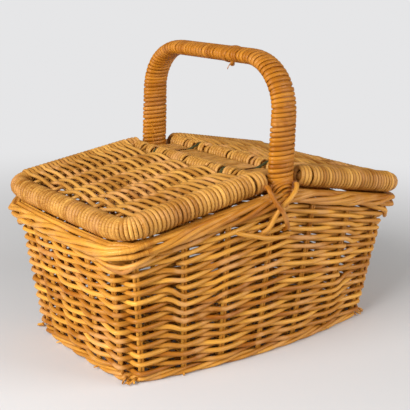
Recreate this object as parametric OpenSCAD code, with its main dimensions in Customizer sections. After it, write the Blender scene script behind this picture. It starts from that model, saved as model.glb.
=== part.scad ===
// Woven cane picnic basket: flared body, fixed hoop handle, centre bridge and two hinged lids.
// Frame: +X along the length, -Y the front, +Z up, origin at the middle of the foot on the ground.

/* [Body] */
// Length over the corners at the foot
base_l = 355; // [310:1:400]
// Width over the corners at the foot
base_w = 192; // [170:1:210]
// Length over the corners at the rim
rim_l = 412; // [400:1:440]
// Width over the corners at the rim
rim_w = 228; // [220:1:240]
// How far each long side swells out at its middle, at the foot
bow_long = 20; // [14:1:26]
// How far each end swells out at its middle
bow_end = 6; // [0:1:12]
// Height of the border's centre at the corners
rim_corner_h = 146.5; // [139:0.5:154]
// Height of the border's centre at the middle of the long sides
rim_mid_h = 183.5; // [177:0.5:185.5]
// Thickness of the woven wall, stakes included
wall_t = 11; // [9:0.5:14]
// How far the wall is set back at a corner
corner_soft = 7; // [2:0.5:7.5]

/* [Weave] */
// Rows of weaving rods between foot and border
row_n = 26; // [20:2:34]
// How far a rod stands out where it passes a stake
rod_swell = 1.5; // [0.5:0.1:2]
// Stakes on each long side
long_stake_n = 7; // [5:2:9]
// Stakes on each end
end_stake_n = 5; // [3:2:7]
// Thickness of one rod of a stake pair
stake_d = 3.6; // [2.5:0.1:4.5]
// Width of the slits between rods
slit_w = 16; // [8:1:18]
// Height of the slits between rods
slit_h = 3.2; // [1:0.1:3.5]
// Slits shown up each side of a stake
slit_n = 4; // [2:1:7]

/* [Foot and base] */
// Height of the foot border
foot_h = 9; // [6:1:14]
// Thickness of the base mat
base_t = 9; // [8:0.5:12]
// Gap between the base mat and the ground
base_lift = 1.5; // [0.5:0.5:4]
// Thickness of the base sticks
base_stick_d = 5; // [4:0.5:6]
// Number of base sticks
base_stick_n = 5; // [3:2:7]

/* [Border] */
// Height of the rim border
border_h = 17; // [14:1:20]
// Thickness of the rim border
border_w = 13; // [10:1:14]
// Distance of the border's centre in from the face of the wall
border_in = 2; // [1:0.5:4]
// Strands that show around the border
border_strand_n = 4; // [3:1:5]
// Turns of the strands around the border, over the whole rim
border_turn_n = 5; // [2:1:9]

/* [Handle] */
// Distance between the handle posts, centre to centre
handle_w = 230; // [220:1:240]
// Distance from the middle of a handle post out to the face of the wall under it
handle_seat = 19; // [17:0.5:22]
// Height of the handle's centreline at the top
handle_h = 317; // [300:1:350]
// Bend radius of the handle's corners
handle_bend_r = 45; // [30:1:60]
// Thickness of the cane hoop inside the wrap
hoop_d = 23; // [18:1:26]
// Thickness of the cane wrapped on the hoop
hoop_wrap_t = 3.4; // [2:0.1:5]
// Width of one turn of the wrap
wrap_pitch = 6; // [4:0.5:8]
// Thickness of the thinned handle ends inside the wall
foot_rod_d = 10; // [6:0.5:12]
// Depth of the thinned ends below the border
foot_rod_l = 70; // [40:1:90]
// Width of the lashing cane
lash_w = 6; // [4:0.5:8]
// Thickness of the lashing cane
lash_t = 1.6; // [1:0.1:2.5]
// How far the lashing reaches down the outside, below the border
lash_drop = 9; // [4:1:16]

/* [Bridge] */
// Width of the slat between the lids
slat_w = 38; // [32:1:39]
// Thickness of the slat
slat_t = 8; // [6:0.5:10]
// Thickness of the wrap on the slat
slat_wrap_t = 2.4; // [1.5:0.1:3]
// How far the slat's middle lies below the hinge line
slat_drop = 6.5; // [6.5:0.5:8]

/* [Lids] */
// Distance from the middle of the basket to each hinge line
hinge_x = 32; // [31:0.5:36]
// Height of the hinge lines
hinge_z = 198; // [196:1:203]
// Length of a lid from its hinge line to its outer edge
lid_l = 175; // [160:1:176]
// Half width of a lid
lid_half_w = 125; // [116:1:126]
// Outer thickness of the woven rolls along the lid's edges
roll_d = 26; // [22:1:26]
// Outer thickness of the binding along the lid's outer edge
end_roll_d = 23; // [20:1:26]
// Thickness of the frame rods inside the rolls
frame_d = 12; // [9:0.5:14]
// Thickness of the hinge rod
hinge_rod_d = 10; // [8:0.5:11]
// Outer thickness of the binding on the hinge rod
hinge_roll_d = 18; // [15:0.5:19]
// Corner radius of the lid frame
lid_corner_r = 15; // [13:1:25]
// Thickness of the woven panel
panel_t = 9; // [8:0.5:10]
// How far the panel lies above the middle of the frame
panel_rise = 2.5; // [0:0.5:3]
// Weaving strips across a lid
lid_row_n = 20; // [14:2:24]
// Sticks in a lid
lid_stick_n = 5; // [3:1:8]
// Thickness of the lid sticks
lid_stick_d = 4; // [3:0.5:4.5]
// Width of one turn of the edge weaving
roll_pitch = 7.5; // [5:0.5:9]
// Width of one turn of the bindings
bind_pitch = 5; // [4:0.5:7]

/* [Hinge ties] */
// Thickness of the tie wire
tie_d = 2.6; // [1.5:0.1:3]
// Distance of each tie from the middle of the lid
tie_y = 62; // [40:1:75]

/* [Fits] */
// Gap between pieces that rest on or pass through each other
fit_gap = 0.2; // [0.1:0.05:0.3]
// Gap between pieces that move past each other
run_gap = 0.4; // [0.3:0.05:0.6]
// Gap between a closed lid and the border
rest_gap = 0.5; // [0.3:0.1:1]

/* [Hidden] */
$fn = 48;
cane = "#d9a350";
cane_deep = "#c98a3c";
cane_pale = "#d8b07a";
tie_green = "#2f3320";

// Room around a rod that passes through weaving, and how far a slit starts from its stake
channel_gap = 4 * fit_gap;
slit_start = 2;
// Share of a side, from its middle, that the outermost stakes reach
long_reach = 0.93;
end_reach = 0.86;
// Length of each side that the border cuts off at a corner, as a share of the wall's set-back there
border_cut = 2.3;
// Depth of the grooves between border strands, as a share of the border
border_groove = 0.12;
// How far the thinned handle ends lean out at the bridge
foot_lean = 1;
// Share of the rim's length at which a closed lid lies on the border
rest_share = 0.41;

// Levels: the wall runs from the foot border to the underside of the rim border
wall_z = foot_h + fit_gap;
border_seat = border_h / 2 + fit_gap;
mitre_gap = fit_gap / 2;

// Slopes of the roof-like rim and of the lids that lie on it
rest_x = rim_l * rest_share;
rest_drop = hinge_z - roll_d / 2 - rim_z(rest_x) - border_h / 2 - rest_gap;
lid_tilt = atan(rest_drop / (rest_x - hinge_x));

// The rim swells out at its middle as far as the handle needs
bow_rim = handle_w / 2 + handle_seat - rim_w / 2;

// Handle: the posts stand above the lashing on the border
hoop_outer_r = hoop_d / 2 + fit_gap + hoop_wrap_t;
post_z = rim_mid_h + border_h / 2 + 2 * lash_t + 3 * fit_gap;
bend_z = handle_h - handle_bend_r;
top_half = handle_w / 2 - handle_bend_r;

// Bridge
slat_z = hinge_z - slat_drop;
bridge_half_w = slat_w / 2 + fit_gap + slat_wrap_t;
bridge_wrap_half_l = handle_w / 2 - hoop_outer_r - run_gap;
border_mid_y = handle_w / 2 + handle_seat - border_in;
slat_half_l = min(handle_w / 2 + foot_lean + foot_rod_d / 2, border_mid_y - border_w / 2 - run_gap);
fork_depth = foot_rod_d + 3 * run_gap;

// Lid frame in the lid's own plane: u away from the hinge, v across, w up from the frame's middle
side_v = lid_half_w - roll_d / 2;
end_u = lid_l - end_roll_d / 2;
panel_u0 = hinge_roll_d / 2 + fit_gap;
panel_u1 = end_u - end_roll_d / 2 - fit_gap;
panel_v = side_v - roll_d / 2 - fit_gap;
roll_u0 = hinge_rod_d / 2 + fit_gap;
roll_u1 = end_u - lid_corner_r;
stick_step = 2 * panel_v / lid_stick_n;

// Tie loop: one round about the hinge rod and one through the slat
tie_r = hinge_rod_d / 2 + run_gap + tie_d / 2;
tie_x = slat_w / 2 - tie_r + tie_d / 2 + fit_gap;
tie_hole_x = tie_x - tie_r + tie_d / 4;
tie_break = tie_d / 2 + 1;

function mix(a, b, f) = a + (b - a) * f;
function rim_z(x) = mix(rim_mid_h, rim_corner_h, min(1, abs(x) / (rim_l / 2)));
function wall_top(x) = rim_z(x) - border_seat;
function half_l(s) = mix(base_l, rim_l, s) / 2;
function half_w(s) = mix(base_w, rim_w, s) / 2;
function bow_at(s) = mix(bow_long, bow_rim, s);
// Share of the full flare reached at height z
function flare(z) = z / rim_mid_h;

// A point of the front wall: t along it from -1 to 1, f up it from 0 to 1, d inwards from its face
function front_at(t, f, d) =
    let (x0 = half_l(f) * t, z = mix(wall_z, wall_top(x0), f), s = flare(z))
    [(half_l(s) - d - mitre_gap) * t, -(half_w(s) - d + bow_at(s) * (1 - t * t)), z];

// A point of the right end wall
function end_at(t, f, d) =
    let (x0 = half_l(f), z = mix(wall_z, wall_top(x0), f), s = flare(z))
    [half_l(s) - d + bow_end * (1 - t * t), (half_w(s) - d - mitre_gap) * t, z];

function wall_at(long, t, f, d) = long ? front_at(t, f, d) : end_at(t, f, d);

// Stake n of a side that has that many
function stake_t(n, many, long) = (long ? long_reach : end_reach) * (2 * n / (many - 1) - 1);

// Columns of the wall's grid: corners, stakes and the crossings half way between stakes
function wall_columns(many, long) = concat(
    [-1],
    [for (n = [0:2 * many - 2]) stake_t(n / 2, many, long)],
    [1]);

// Swell of row r at column c: out past every other stake, in past the ones between, level at crossings
function row_swell(r, c, last) =
    (c == 0 || c == last || c % 2 == 0 || r == 0 || r == row_n) ? 0
    : rod_swell * (((c - 1) / 2 + r) % 2 == 0 ? 1 : -1);

// Faces of a closed slab made of two grids of points, the second one behind the first
function slab_faces(rows, cols) =
    let (n = rows * cols, q = function (r, c) r * cols + c)
    concat(
        [for (r = [0:rows - 2], c = [0:cols - 2]) [q(r, c), q(r + 1, c), q(r + 1, c + 1)]],
        [for (r = [0:rows - 2], c = [0:cols - 2]) [q(r, c), q(r + 1, c + 1), q(r, c + 1)]],
        [for (r = [0:rows - 2], c = [0:cols - 2]) [n + q(r, c), n + q(r + 1, c + 1), n + q(r + 1, c)]],
        [for (r = [0:rows - 2], c = [0:cols - 2]) [n + q(r, c), n + q(r, c + 1), n + q(r + 1, c + 1)]],
        [for (r = [0:rows - 2]) [q(r, 0), n + q(r, 0), n + q(r + 1, 0), q(r + 1, 0)]],
        [for (r = [0:rows - 2], c = cols - 1) [q(r, c), q(r + 1, c), n + q(r + 1, c), n + q(r, c)]],
        [for (c = [0:cols - 2]) [q(0, c), q(0, c + 1), n + q(0, c + 1), n + q(0, c)]],
        [for (c = [0:cols - 2], r = rows - 1) [q(r, c), n + q(r, c), n + q(r, c + 1), q(r, c + 1)]]);

module rod(from, to, d) {
    v = to - from;
    translate(from)
        rotate([0, acos(v.z / norm(v)), atan2(v.y, v.x)])
            cylinder(h = norm(v), d = d);
}

// One stake: two rods side by side up the middle of the wall
module stake_pair(many, n, long, spread, d) {
    t = stake_t(n, many, long);
    low = wall_at(long, t, 0, wall_t / 2) + [0, 0, 2 * fit_gap];
    high = wall_at(long, t, 1, wall_t / 2);
    along = long ? [spread, 0, 0] : [0, spread, 0];
    for (side = [-1, 1]) rod(low + side * along, high + side * along, d);
}

// A tapering slit through the wall at row r, beside stake n and towards the next one or the one before
module slit(many, n, r, long, toward) {
    t = stake_t(n, many, long);
    run = (long ? rim_l : rim_w) / 2;
    t0 = t + toward * (stake_d + slit_start) / run;
    t1 = t0 + toward * slit_w / run;
    f = r / row_n;
    up = [0, 0, slit_h / 2];
    hull()
        polyhedron(
            [for (d = [-wall_t, 2 * wall_t]) each
                [wall_at(long, t0, f, d) + up, wall_at(long, t0, f, d) - up, wall_at(long, t1, f, d)]],
            [[0, 1, 2], [5, 4, 3], [0, 3, 4, 1], [1, 4, 5, 2], [2, 5, 3, 0]]);
}

module wall_weave(many, long) {
    cols = wall_columns(many, long);
    last = len(cols) - 1;
    set_back = function (c) c == 0 || c == last ? corner_soft : 0;
    outer = [for (r = [0:row_n], c = [0:last])
        wall_at(long, cols[c], r / row_n, set_back(c) - row_swell(r, c, last) + rod_swell)];
    inner = [for (r = [0:row_n], c = [0:last])
        wall_at(long, cols[c], r / row_n, wall_t + set_back(c) / 2 - row_swell(r, c, last) - rod_swell)];
    difference() {
        polyhedron(concat(outer, inner), slab_faces(row_n + 1, last + 1), convexity = 8);
        for (n = [0:many - 1]) {
            hull() stake_channel(many, n, long);
            for (k = [1:slit_n], toward = [-1, 1])
                if (n + toward >= 0 && n + toward < many)
                    slit(many, n, 2 * round((k - 0.5) * row_n / slit_n / 2) + n % 2, long, toward);
        }
    }
}

// Room for a stake pair, open at both ends
module stake_channel(many, n, long) {
    t = stake_t(n, many, long);
    low = wall_at(long, t, 0, wall_t / 2);
    high = wall_at(long, t, 1, wall_t / 2);
    v = (high - low) / norm(high - low);
    along = long ? [stake_d / 2 + fit_gap, 0, 0] : [0, stake_d / 2 + fit_gap, 0];
    for (side = [-1, 1])
        rod(low - v + side * along, high + v + side * along, stake_d + channel_gap, $fn = 8);
}

module front_weave() { color(cane) wall_weave(long_stake_n, true); }
module back_weave() { color(cane) rotate(180) wall_weave(long_stake_n, true); }
module right_weave() { color(cane) wall_weave(end_stake_n, false); }
module left_weave() { color(cane) rotate(180) wall_weave(end_stake_n, false); }

module stakes() {
    color(cane_deep)
    for (turn = [0, 180]) rotate(turn) {
        for (n = [0:long_stake_n - 1]) stake_pair(long_stake_n, n, true, (stake_d + fit_gap) / 2, stake_d);
        for (n = [0:end_stake_n - 1]) stake_pair(end_stake_n, n, false, (stake_d + fit_gap) / 2, stake_d);
    }
}

// Outline of the body at flare share s, set in by d: bowed sides with cut corners
function outline(s, d) =
    let (a = half_l(s) - d, b = half_w(s) - d, cut = corner_soft, n = 10)
    concat(
        [for (i = [0:n]) let (t = (2 * i / n - 1) * (1 - cut / a)) [a * t, -(b + bow_long * (1 - t * t))]],
        [for (i = [0:n]) let (t = (2 * i / n - 1) * (1 - cut / b)) [a + bow_end * (1 - t * t), b * t]],
        [for (i = [0:n]) let (t = (1 - 2 * i / n) * (1 - cut / a)) [a * t, b + bow_long * (1 - t * t)]],
        [for (i = [0:n]) let (t = (1 - 2 * i / n) * (1 - cut / b)) [-(a + bow_end * (1 - t * t)), b * t]]);

// Two strands lie one on the other under the wall and carry the base
module foot_border() {
    strand_h = foot_h / 2;
    bevel = strand_h / 4;
    color(cane)
    for (level = [0, 1], layer = [0:2]) {
        inset = layer == 1 ? 0 : bevel;
        z = level * strand_h + [0, bevel, strand_h - bevel][layer];
        translate([0, 0, z])
            linear_extrude([bevel, strand_h - 2 * bevel, bevel][layer])
                difference() {
                    polygon(outline(0, inset));
                    polygon(outline(0, wall_t - inset));
                }
    }
}

// Ridged mat that fills the foot border
base_half_l = base_l / 2 - wall_t - fit_gap - bow_end;
base_half_w = base_w / 2 - wall_t - fit_gap;
function base_stick_y(n) = base_half_w * (2 * (n + 0.5) / base_stick_n - 1);

module base_weave() {
    rows = 2 * base_stick_n;
    cols = 12;
    swell = rod_swell / 2;
    at = function (r, c, z)
        let (t = 2 * c / cols - 1, v = 2 * r / rows - 1)
        [(base_half_l + bow_end * (1 - v * v)) * t, (base_half_w + bow_long * (1 - t * t)) * v, z];
    ridge = function (r, c)
        (r % 2 == 0 || c == 0 || c == cols) ? 0 : ((r + 1) / 2 + c) % 2 == 0 ? swell : -swell;
    low = [for (r = [0:rows], c = [0:cols]) at(r, c, base_lift + swell + ridge(r, c))];
    high = [for (r = [0:rows], c = [0:cols]) at(r, c, base_lift + base_t - swell + ridge(r, c))];
    color(cane_deep)
    difference() {
        polyhedron(concat(low, high), slab_faces(rows + 1, cols + 1), convexity = 8);
        for (n = [0:base_stick_n - 1]) base_stick(n, base_stick_d + channel_gap, base_l, $fn = 12);
        for (n = [0:base_stick_n - 2], side = [-1, 1])
            hull()
                for (end = [-1, 1])
                    translate([side * base_l / 5 + end * slit_w / 2, base_stick_y(n + 0.5), 0])
                        cube([slit_h, slit_h, 4 * base_t], center = true);
    }
}

module base_stick(n, d, l) {
    translate([-l / 2, base_stick_y(n), base_lift + base_t / 2]) rotate([0, 90, 0]) cylinder(h = l, d = d);
}

module base_sticks() {
    color(cane_pale) for (n = [0:base_stick_n - 1]) base_stick(n, base_stick_d, 2 * base_half_l);
}

// Path of the border's centre around the rim
function border_path(n) =
    let (a = rim_l / 2 - border_in, b = rim_w / 2 - border_in, cut = border_cut * corner_soft)
    concat(
        [for (i = [0:2 * n]) let (t = (i / n - 1) * (1 - cut / a)) [a * t, -(b + bow_rim * (1 - t * t))]],
        [for (i = [0:n]) let (t = (2 * i / n - 1) * (1 - cut / b)) [a + bow_end * (1 - t * t), b * t]],
        [for (i = [0:2 * n]) let (t = (1 - i / n) * (1 - cut / a)) [a * t, b + bow_rim * (1 - t * t)]],
        [for (i = [0:n]) let (t = (1 - 2 * i / n) * (1 - cut / b)) [-(a + bow_end * (1 - t * t)), b * t]]);

// Strands that wind slowly round one another: a lobed section turned along the rim
module rim_border() {
    path = border_path(10);
    n = len(path);
    sides = 4 * border_strand_n;
    points = [for (i = [0:n - 1], k = [0:sides - 1])
        let (
            p = path[i],
            v = path[(i + 1) % n] - path[(i + n - 1) % n],
            out = [v.y, -v.x] / norm(v),
            a = 360 * k / sides,
            turn = 360 * border_turn_n * i / n,
            r = 1 - border_groove * (1 - cos(border_strand_n * a - turn)))
        [p.x + out.x * cos(a) * r * border_w / 2, p.y + out.y * cos(a) * r * border_w / 2,
         rim_z(p.x) + sin(a) * r * border_h / 2]];
    faces = [for (i = [0:n - 1], k = [0:sides - 1])
        let (j = (i + 1) % n, m = (k + 1) % sides)
        each [[i * sides + k, i * sides + m, j * sides + m], [i * sides + k, j * sides + m, j * sides + k]]];
    color(cane) polyhedron(points, faces, convexity = 8);
}

// A tube with one ridge for each turn, standing on the ground plane
module ridged_tube(l, bore_d, outer_d, pitch) {
    turns = max(2, round(l / pitch));
    step = l / turns;
    valley = outer_d / 2 - min(0.22 * step, (outer_d - bore_d) / 4);
    rotate_extrude()
        polygon(concat(
            [[bore_d / 2, 0]],
            [for (i = [0:turns - 1]) each [[valley, i * step], [outer_d / 2, (i + 0.5) * step]]],
            [[valley, l], [bore_d / 2, l]]));
}

module ring(inner_d, outer_d) {
    difference() {
        circle(d = outer_d);
        circle(d = inner_d);
    }
}

// A quarter bend of the same tube, with one rib for each turn
module ridged_bend(bend_r, bore_d, outer_d, pitch) {
    turns = max(2, round(PI / 2 * bend_r / pitch));
    step = 90 / turns;
    valley_d = outer_d - 2 * min(0.22 * pitch, (outer_d - bore_d) / 4);
    rotate_extrude(angle = 90) translate([bend_r, 0]) ring(bore_d, valley_d);
    for (i = [0:turns - 1])
        rotate((i + 0.2) * step)
            rotate_extrude(angle = 0.6 * step) translate([bend_r, 0]) ring((bore_d + valley_d) / 2, outer_d);
}

module at_front_and_back() {
    for (turn = [0, 180]) rotate(turn) children();
}

// The hoop: two posts, two bends and a top bar, with thinned ends down inside the walls
module handle_core() {
    color(cane_deep) {
        at_front_and_back() {
            translate([0, -handle_w / 2, post_z]) cylinder(h = bend_z - post_z, d = hoop_d);
            translate([0, -top_half, bend_z])
                rotate([0, -90, 180])
                    rotate_extrude(angle = 90) translate([handle_bend_r, 0]) circle(d = hoop_d);
            rod(foot_rod_low, foot_rod_high, foot_rod_d);
        }
        translate([0, top_half, handle_h]) rotate([90, 0, 0]) cylinder(h = 2 * top_half, d = hoop_d);
    }
}

foot_rod_in = wall_t + run_gap + foot_rod_d / 2;
foot_rod_drop_z = post_z - border_h - foot_rod_l;
foot_rod_s = flare(foot_rod_drop_z);
foot_rod_low = [0, -(half_w(foot_rod_s) + bow_at(foot_rod_s) - foot_rod_in), foot_rod_drop_z];
foot_rod_high = [0, -(slat_half_l - foot_rod_d / 2), post_z + 1];

// Flat cane wound on the hoop, turn beside turn
module handle_wrap() {
    bore = hoop_d + 2 * fit_gap;
    outer = 2 * hoop_outer_r;
    color(cane_deep) {
        at_front_and_back() {
            translate([0, -handle_w / 2, post_z]) ridged_tube(bend_z - post_z, bore, outer, wrap_pitch);
            translate([0, -top_half, bend_z])
                rotate([0, -90, 180]) ridged_bend(handle_bend_r, bore, outer, wrap_pitch);
        }
        translate([0, top_half, handle_h])
            rotate([90, 0, 0]) ridged_tube(2 * top_half, bore, outer, wrap_pitch);
    }
}

// Two strips of cane cross over the border and hold the end of the handle
module lashing() {
    out_y = border_mid_y + border_w / 2;
    in_y = border_mid_y - border_w / 2;
    top_z = rim_mid_h + border_h / 2 + fit_gap;
    low_z = rim_mid_h - border_h / 2 - lash_drop;
    wall_y = half_w(flare(low_z)) + bow_at(flare(low_z));
    for (side = [-1, 1]) {
        lift = (side + 1) / 2 * lash_t;
        route = [
            [-side * lash_w, -(in_y + lash_t), top_z + lift],
            [-side * lash_w, -(out_y - lash_t), top_z + lift],
            [-side * lash_w / 2, -(out_y + fit_gap + lift + lash_t), top_z - border_h / 4],
            [side * lash_w / 2, -(out_y + fit_gap + lift + lash_t), rim_mid_h - border_h / 4],
            [side * lash_w * 1.5, -(wall_y + rod_swell + fit_gap), low_z]];
        for (i = [0:len(route) - 2])
            hull()
                for (k = [0, 1])
                    translate(route[i + k]) cube([lash_w, lash_t, lash_t], center = true);
    }
}

module front_lashing() { color(cane_pale) lashing(); }
module back_lashing() { color(cane_pale) rotate(180) lashing(); }

// The slat: forked at both ends round the handle's thinned ends
module bridge_core() {
    color(cane_pale)
    difference() {
        translate([0, 0, slat_z]) cube([slat_w, 2 * slat_half_l, slat_t], center = true);
        at_front_and_back()
            translate([0, -slat_half_l, slat_z])
                cube([foot_rod_d + 2 * run_gap, 2 * fork_depth, 2 * slat_t], center = true);
        for (x = [-1, 1], y = [-1, 1])
            translate([x * tie_hole_x, y * tie_y, slat_z])
                cylinder(h = 2 * slat_t, d = 1.6 * tie_d + 2 * run_gap, center = true);
    }
}

// Outline of one stretch of the slat's wrap, ridged above and below
function wrap_outline(l, half_t, pitch) =
    let (turns = max(2, round(l / pitch)), step = l / turns, dip = 0.35 * slat_wrap_t)
    concat(
        [for (i = [0:turns - 1]) each [[i * step, dip - half_t], [(i + 0.5) * step, -half_t]]],
        [[l, dip - half_t], [l, half_t - dip]],
        [for (i = [turns - 1:-1:0]) each [[(i + 0.5) * step, half_t], [i * step, half_t - dip]]]);

module bridge_wrap() {
    half_t = slat_t / 2 + fit_gap + slat_wrap_t;
    stretches = [
        [-bridge_wrap_half_l, -tie_y - tie_break], [-tie_y + tie_break, tie_y - tie_break],
        [tie_y + tie_break, bridge_wrap_half_l]];
    color(cane_pale)
    for (y = stretches)
        difference() {
            translate([-bridge_half_w, y[0], slat_z])
                rotate([90, 0, 90])
                    linear_extrude(2 * bridge_half_w) polygon(wrap_outline(y[1] - y[0], half_t, bind_pitch));
            translate([0, 0, slat_z])
                cube([slat_w + 2 * fit_gap, 3 * slat_half_l, slat_t + 2 * fit_gap], center = true);
        }
}

// A wire loop about the hinge rod and the edge of the slat
module tie() {
    run = [hinge_x - tie_x, hinge_z - slat_z];
    lean = atan2(run.y, run.x);
    translate([tie_x, 0, slat_z]) rotate([90, -lean, 0]) {
        for (end = [0, 1])
            translate([end * norm(run), 0, 0])
                rotate(90 - end * 180) rotate_extrude(angle = 180) translate([tie_r, 0]) circle(d = tie_d);
        for (side = [-1, 1])
            translate([0, side * tie_r, 0]) rotate([0, 90, 0]) cylinder(h = norm(run), d = tie_d);
    }
}

module right_hinge_ties() {
    color(tie_green) for (y = [-1, 1]) translate([0, y * tie_y, 0]) tie();
}

module left_hinge_ties() { mirror([1, 0, 0]) right_hinge_ties(); }

// Places a lid's piece at its hinge line, sloping down onto the border
module right_lid() {
    translate([hinge_x, 0, hinge_z]) rotate([0, lid_tilt, 0]) children();
}

module left_lid() {
    mirror([1, 0, 0]) right_lid() children();
}

module along_v() { rotate([90, 0, 0]) children(); }

module lid_hinge_rod() {
    color(cane_pale) translate([0, lid_half_w, 0]) along_v() cylinder(h = 2 * lid_half_w, d = hinge_rod_d);
}

// The bent rod that goes round the lid's three free edges
module lid_frame() {
    color(cane_pale) {
        for (side = [-1, 1]) {
            translate([roll_u0, side * side_v, 0])
                rotate([0, 90, 0]) cylinder(h = roll_u1 - roll_u0, d = frame_d);
            translate([roll_u1, side * (side_v - lid_corner_r), 0])
                rotate(side > 0 ? 0 : -90)
                    rotate_extrude(angle = 90) translate([lid_corner_r, 0]) circle(d = frame_d);
        }
        translate([end_u, side_v - lid_corner_r, 0])
            along_v() cylinder(h = 2 * (side_v - lid_corner_r), d = frame_d);
    }
}

module lid_stick(n, d, u0, u1) {
    translate([u0, stick_step * (n - (lid_stick_n - 1) / 2), panel_rise])
        rotate([0, 90, 0]) cylinder(h = u1 - u0, d = d);
}

module lid_sticks() {
    color(cane_pale) for (n = [0:lid_stick_n - 1]) lid_stick(n, lid_stick_d, panel_u0, panel_u1);
}

// The woven panel: strips across the lid, over one stick and under the next
module lid_weave() {
    rows = lid_row_n + 1;
    cols = 2 * lid_stick_n;
    swell = rod_swell / 1.5;
    ridge = function (r, c)
        (r == 0 || r == rows || c % 2 == 0) ? 0 : ((c - 1) / 2 + r) % 2 == 0 ? swell : -swell;
    at = function (r, c, w) [mix(panel_u0, panel_u1, r / rows), panel_v * (2 * c / cols - 1), w];
    low = [for (c = [0:cols], r = [0:rows]) at(r, c, panel_rise - panel_t / 2 + swell + ridge(r, c))];
    high = [for (c = [0:cols], r = [0:rows]) at(r, c, panel_rise + panel_t / 2 - swell + ridge(r, c))];
    row_step = (panel_u1 - panel_u0) / rows;
    color(cane_pale)
    difference() {
        polyhedron(concat(low, high), slab_faces(cols + 1, rows + 1), convexity = 8);
        for (n = [0:lid_stick_n - 1])
            lid_stick(n, lid_stick_d + channel_gap, panel_u0 - 1, panel_u1 + 1, $fn = 8);
        for (n = [0:lid_stick_n - 1], k = [1:slit_n - 1])
            translate([
                panel_u0 + row_step * (2 * round(k * rows / slit_n / 2) + n % 2),
                stick_step * (n - (lid_stick_n - 1) / 2 + 0.32), 0])
                hull()
                    for (end = [-1, 1])
                        translate([0, end * stick_step / 10, 0])
                            cube([slit_h * (end < 0 ? 0.4 : 1), 0.5, 6 * panel_t], center = true);
    }
}

// Strips turned round the frame's side rods
module lid_roll(side) {
    color(cane_pale)
    translate([panel_u0, side * side_v, 0])
        rotate([0, 90, 0]) ridged_tube(roll_u1 - panel_u0, frame_d + 2 * fit_gap, roll_d, roll_pitch);
}

module lid_front_roll() { lid_roll(-1); }
module lid_back_roll() { lid_roll(1); }

// Fine cane bound round the outer edge and its corners
module lid_end_binding() {
    bore = frame_d + 2 * fit_gap;
    color(cane_deep) {
        translate([end_u, side_v - lid_corner_r, 0])
            along_v() ridged_tube(2 * (side_v - lid_corner_r), bore, end_roll_d, bind_pitch);
        for (side = [-1, 1])
            translate([roll_u1, side * (side_v - lid_corner_r), 0])
                rotate(side > 0 ? 0 : -90)
                    rotate_extrude(angle = 90) translate([lid_corner_r, 0]) ring(bore, end_roll_d);
    }
}

// Cane bound round the hinge rod, with breaks where the ties hold it
module lid_hinge_binding() {
    bore = hinge_rod_d + 2 * fit_gap;
    stretches = [
        [-lid_half_w, -tie_y - tie_break], [-tie_y + tie_break, tie_y - tie_break],
        [tie_y + tie_break, lid_half_w]];
    color(cane_pale)
    difference() {
        for (v = stretches)
            translate([0, v[1], 0]) along_v() ridged_tube(v[1] - v[0], bore, hinge_roll_d, bind_pitch);
        for (side = [-1, 1])
            translate([0, side * side_v, 0])
                rotate([0, 90, 0]) cylinder(h = roll_u1, d = frame_d + 2 * fit_gap);
    }
}

foot_border();
base_weave();
base_sticks();
front_weave();
back_weave();
left_weave();
right_weave();
stakes();
rim_border();
handle_core();
handle_wrap();
front_lashing();
back_lashing();
bridge_core();
bridge_wrap();
left_hinge_ties();
right_hinge_ties();
left_lid() lid_hinge_rod();  // left_lid_hinge_rod
left_lid() lid_frame();  // left_lid_frame
left_lid() lid_sticks();  // left_lid_sticks
left_lid() lid_weave();  // left_lid_weave
left_lid() lid_front_roll();  // left_lid_front_roll
left_lid() lid_back_roll();  // left_lid_back_roll
left_lid() lid_end_binding();  // left_lid_end_binding
left_lid() lid_hinge_binding();  // left_lid_hinge_binding
right_lid() lid_hinge_rod();  // right_lid_hinge_rod
right_lid() lid_frame();  // right_lid_frame
right_lid() lid_sticks();  // right_lid_sticks
right_lid() lid_weave();  // right_lid_weave
right_lid() lid_front_roll();  // right_lid_front_roll
right_lid() lid_back_roll();  // right_lid_back_roll
right_lid() lid_end_binding();  // right_lid_end_binding
right_lid() lid_hinge_binding();  // right_lid_hinge_binding
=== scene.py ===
"""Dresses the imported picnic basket: every rod, strip and winding of cane, its finishes and the stage."""

import math
import random

import bmesh
import bpy
from bpy.props import FloatProperty, FloatVectorProperty, IntProperty, PointerProperty
from mathutils import Matrix, Vector


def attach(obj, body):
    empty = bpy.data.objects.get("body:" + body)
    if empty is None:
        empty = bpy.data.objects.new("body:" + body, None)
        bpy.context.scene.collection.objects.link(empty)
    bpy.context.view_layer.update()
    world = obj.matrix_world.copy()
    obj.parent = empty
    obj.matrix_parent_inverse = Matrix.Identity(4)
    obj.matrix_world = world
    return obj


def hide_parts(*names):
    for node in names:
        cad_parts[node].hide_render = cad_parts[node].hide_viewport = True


bl_info = {
    "name": "Picnic Basket",
    "version": (1, 0, 0),
    "blender": (4, 5, 0),
    "location": "3D View > Sidebar > Basket",
    "description": "Weaves a cane picnic basket with two hinged lids around its solids",
    "category": "Object",
}

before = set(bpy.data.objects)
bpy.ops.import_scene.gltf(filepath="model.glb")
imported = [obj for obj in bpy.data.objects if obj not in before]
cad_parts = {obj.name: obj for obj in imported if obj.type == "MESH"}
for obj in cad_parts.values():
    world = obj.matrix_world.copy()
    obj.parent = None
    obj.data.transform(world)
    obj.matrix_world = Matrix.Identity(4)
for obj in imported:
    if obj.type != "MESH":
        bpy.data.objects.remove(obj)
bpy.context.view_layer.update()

X_AXIS, Y_AXIS, UP = Vector((1, 0, 0)), Vector((0, 1, 0)), Vector((0, 0, 1))
# Sides of the body, in the order in which a rod goes round
FRONT, RIGHT, BACK, LEFT = range(4)
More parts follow.
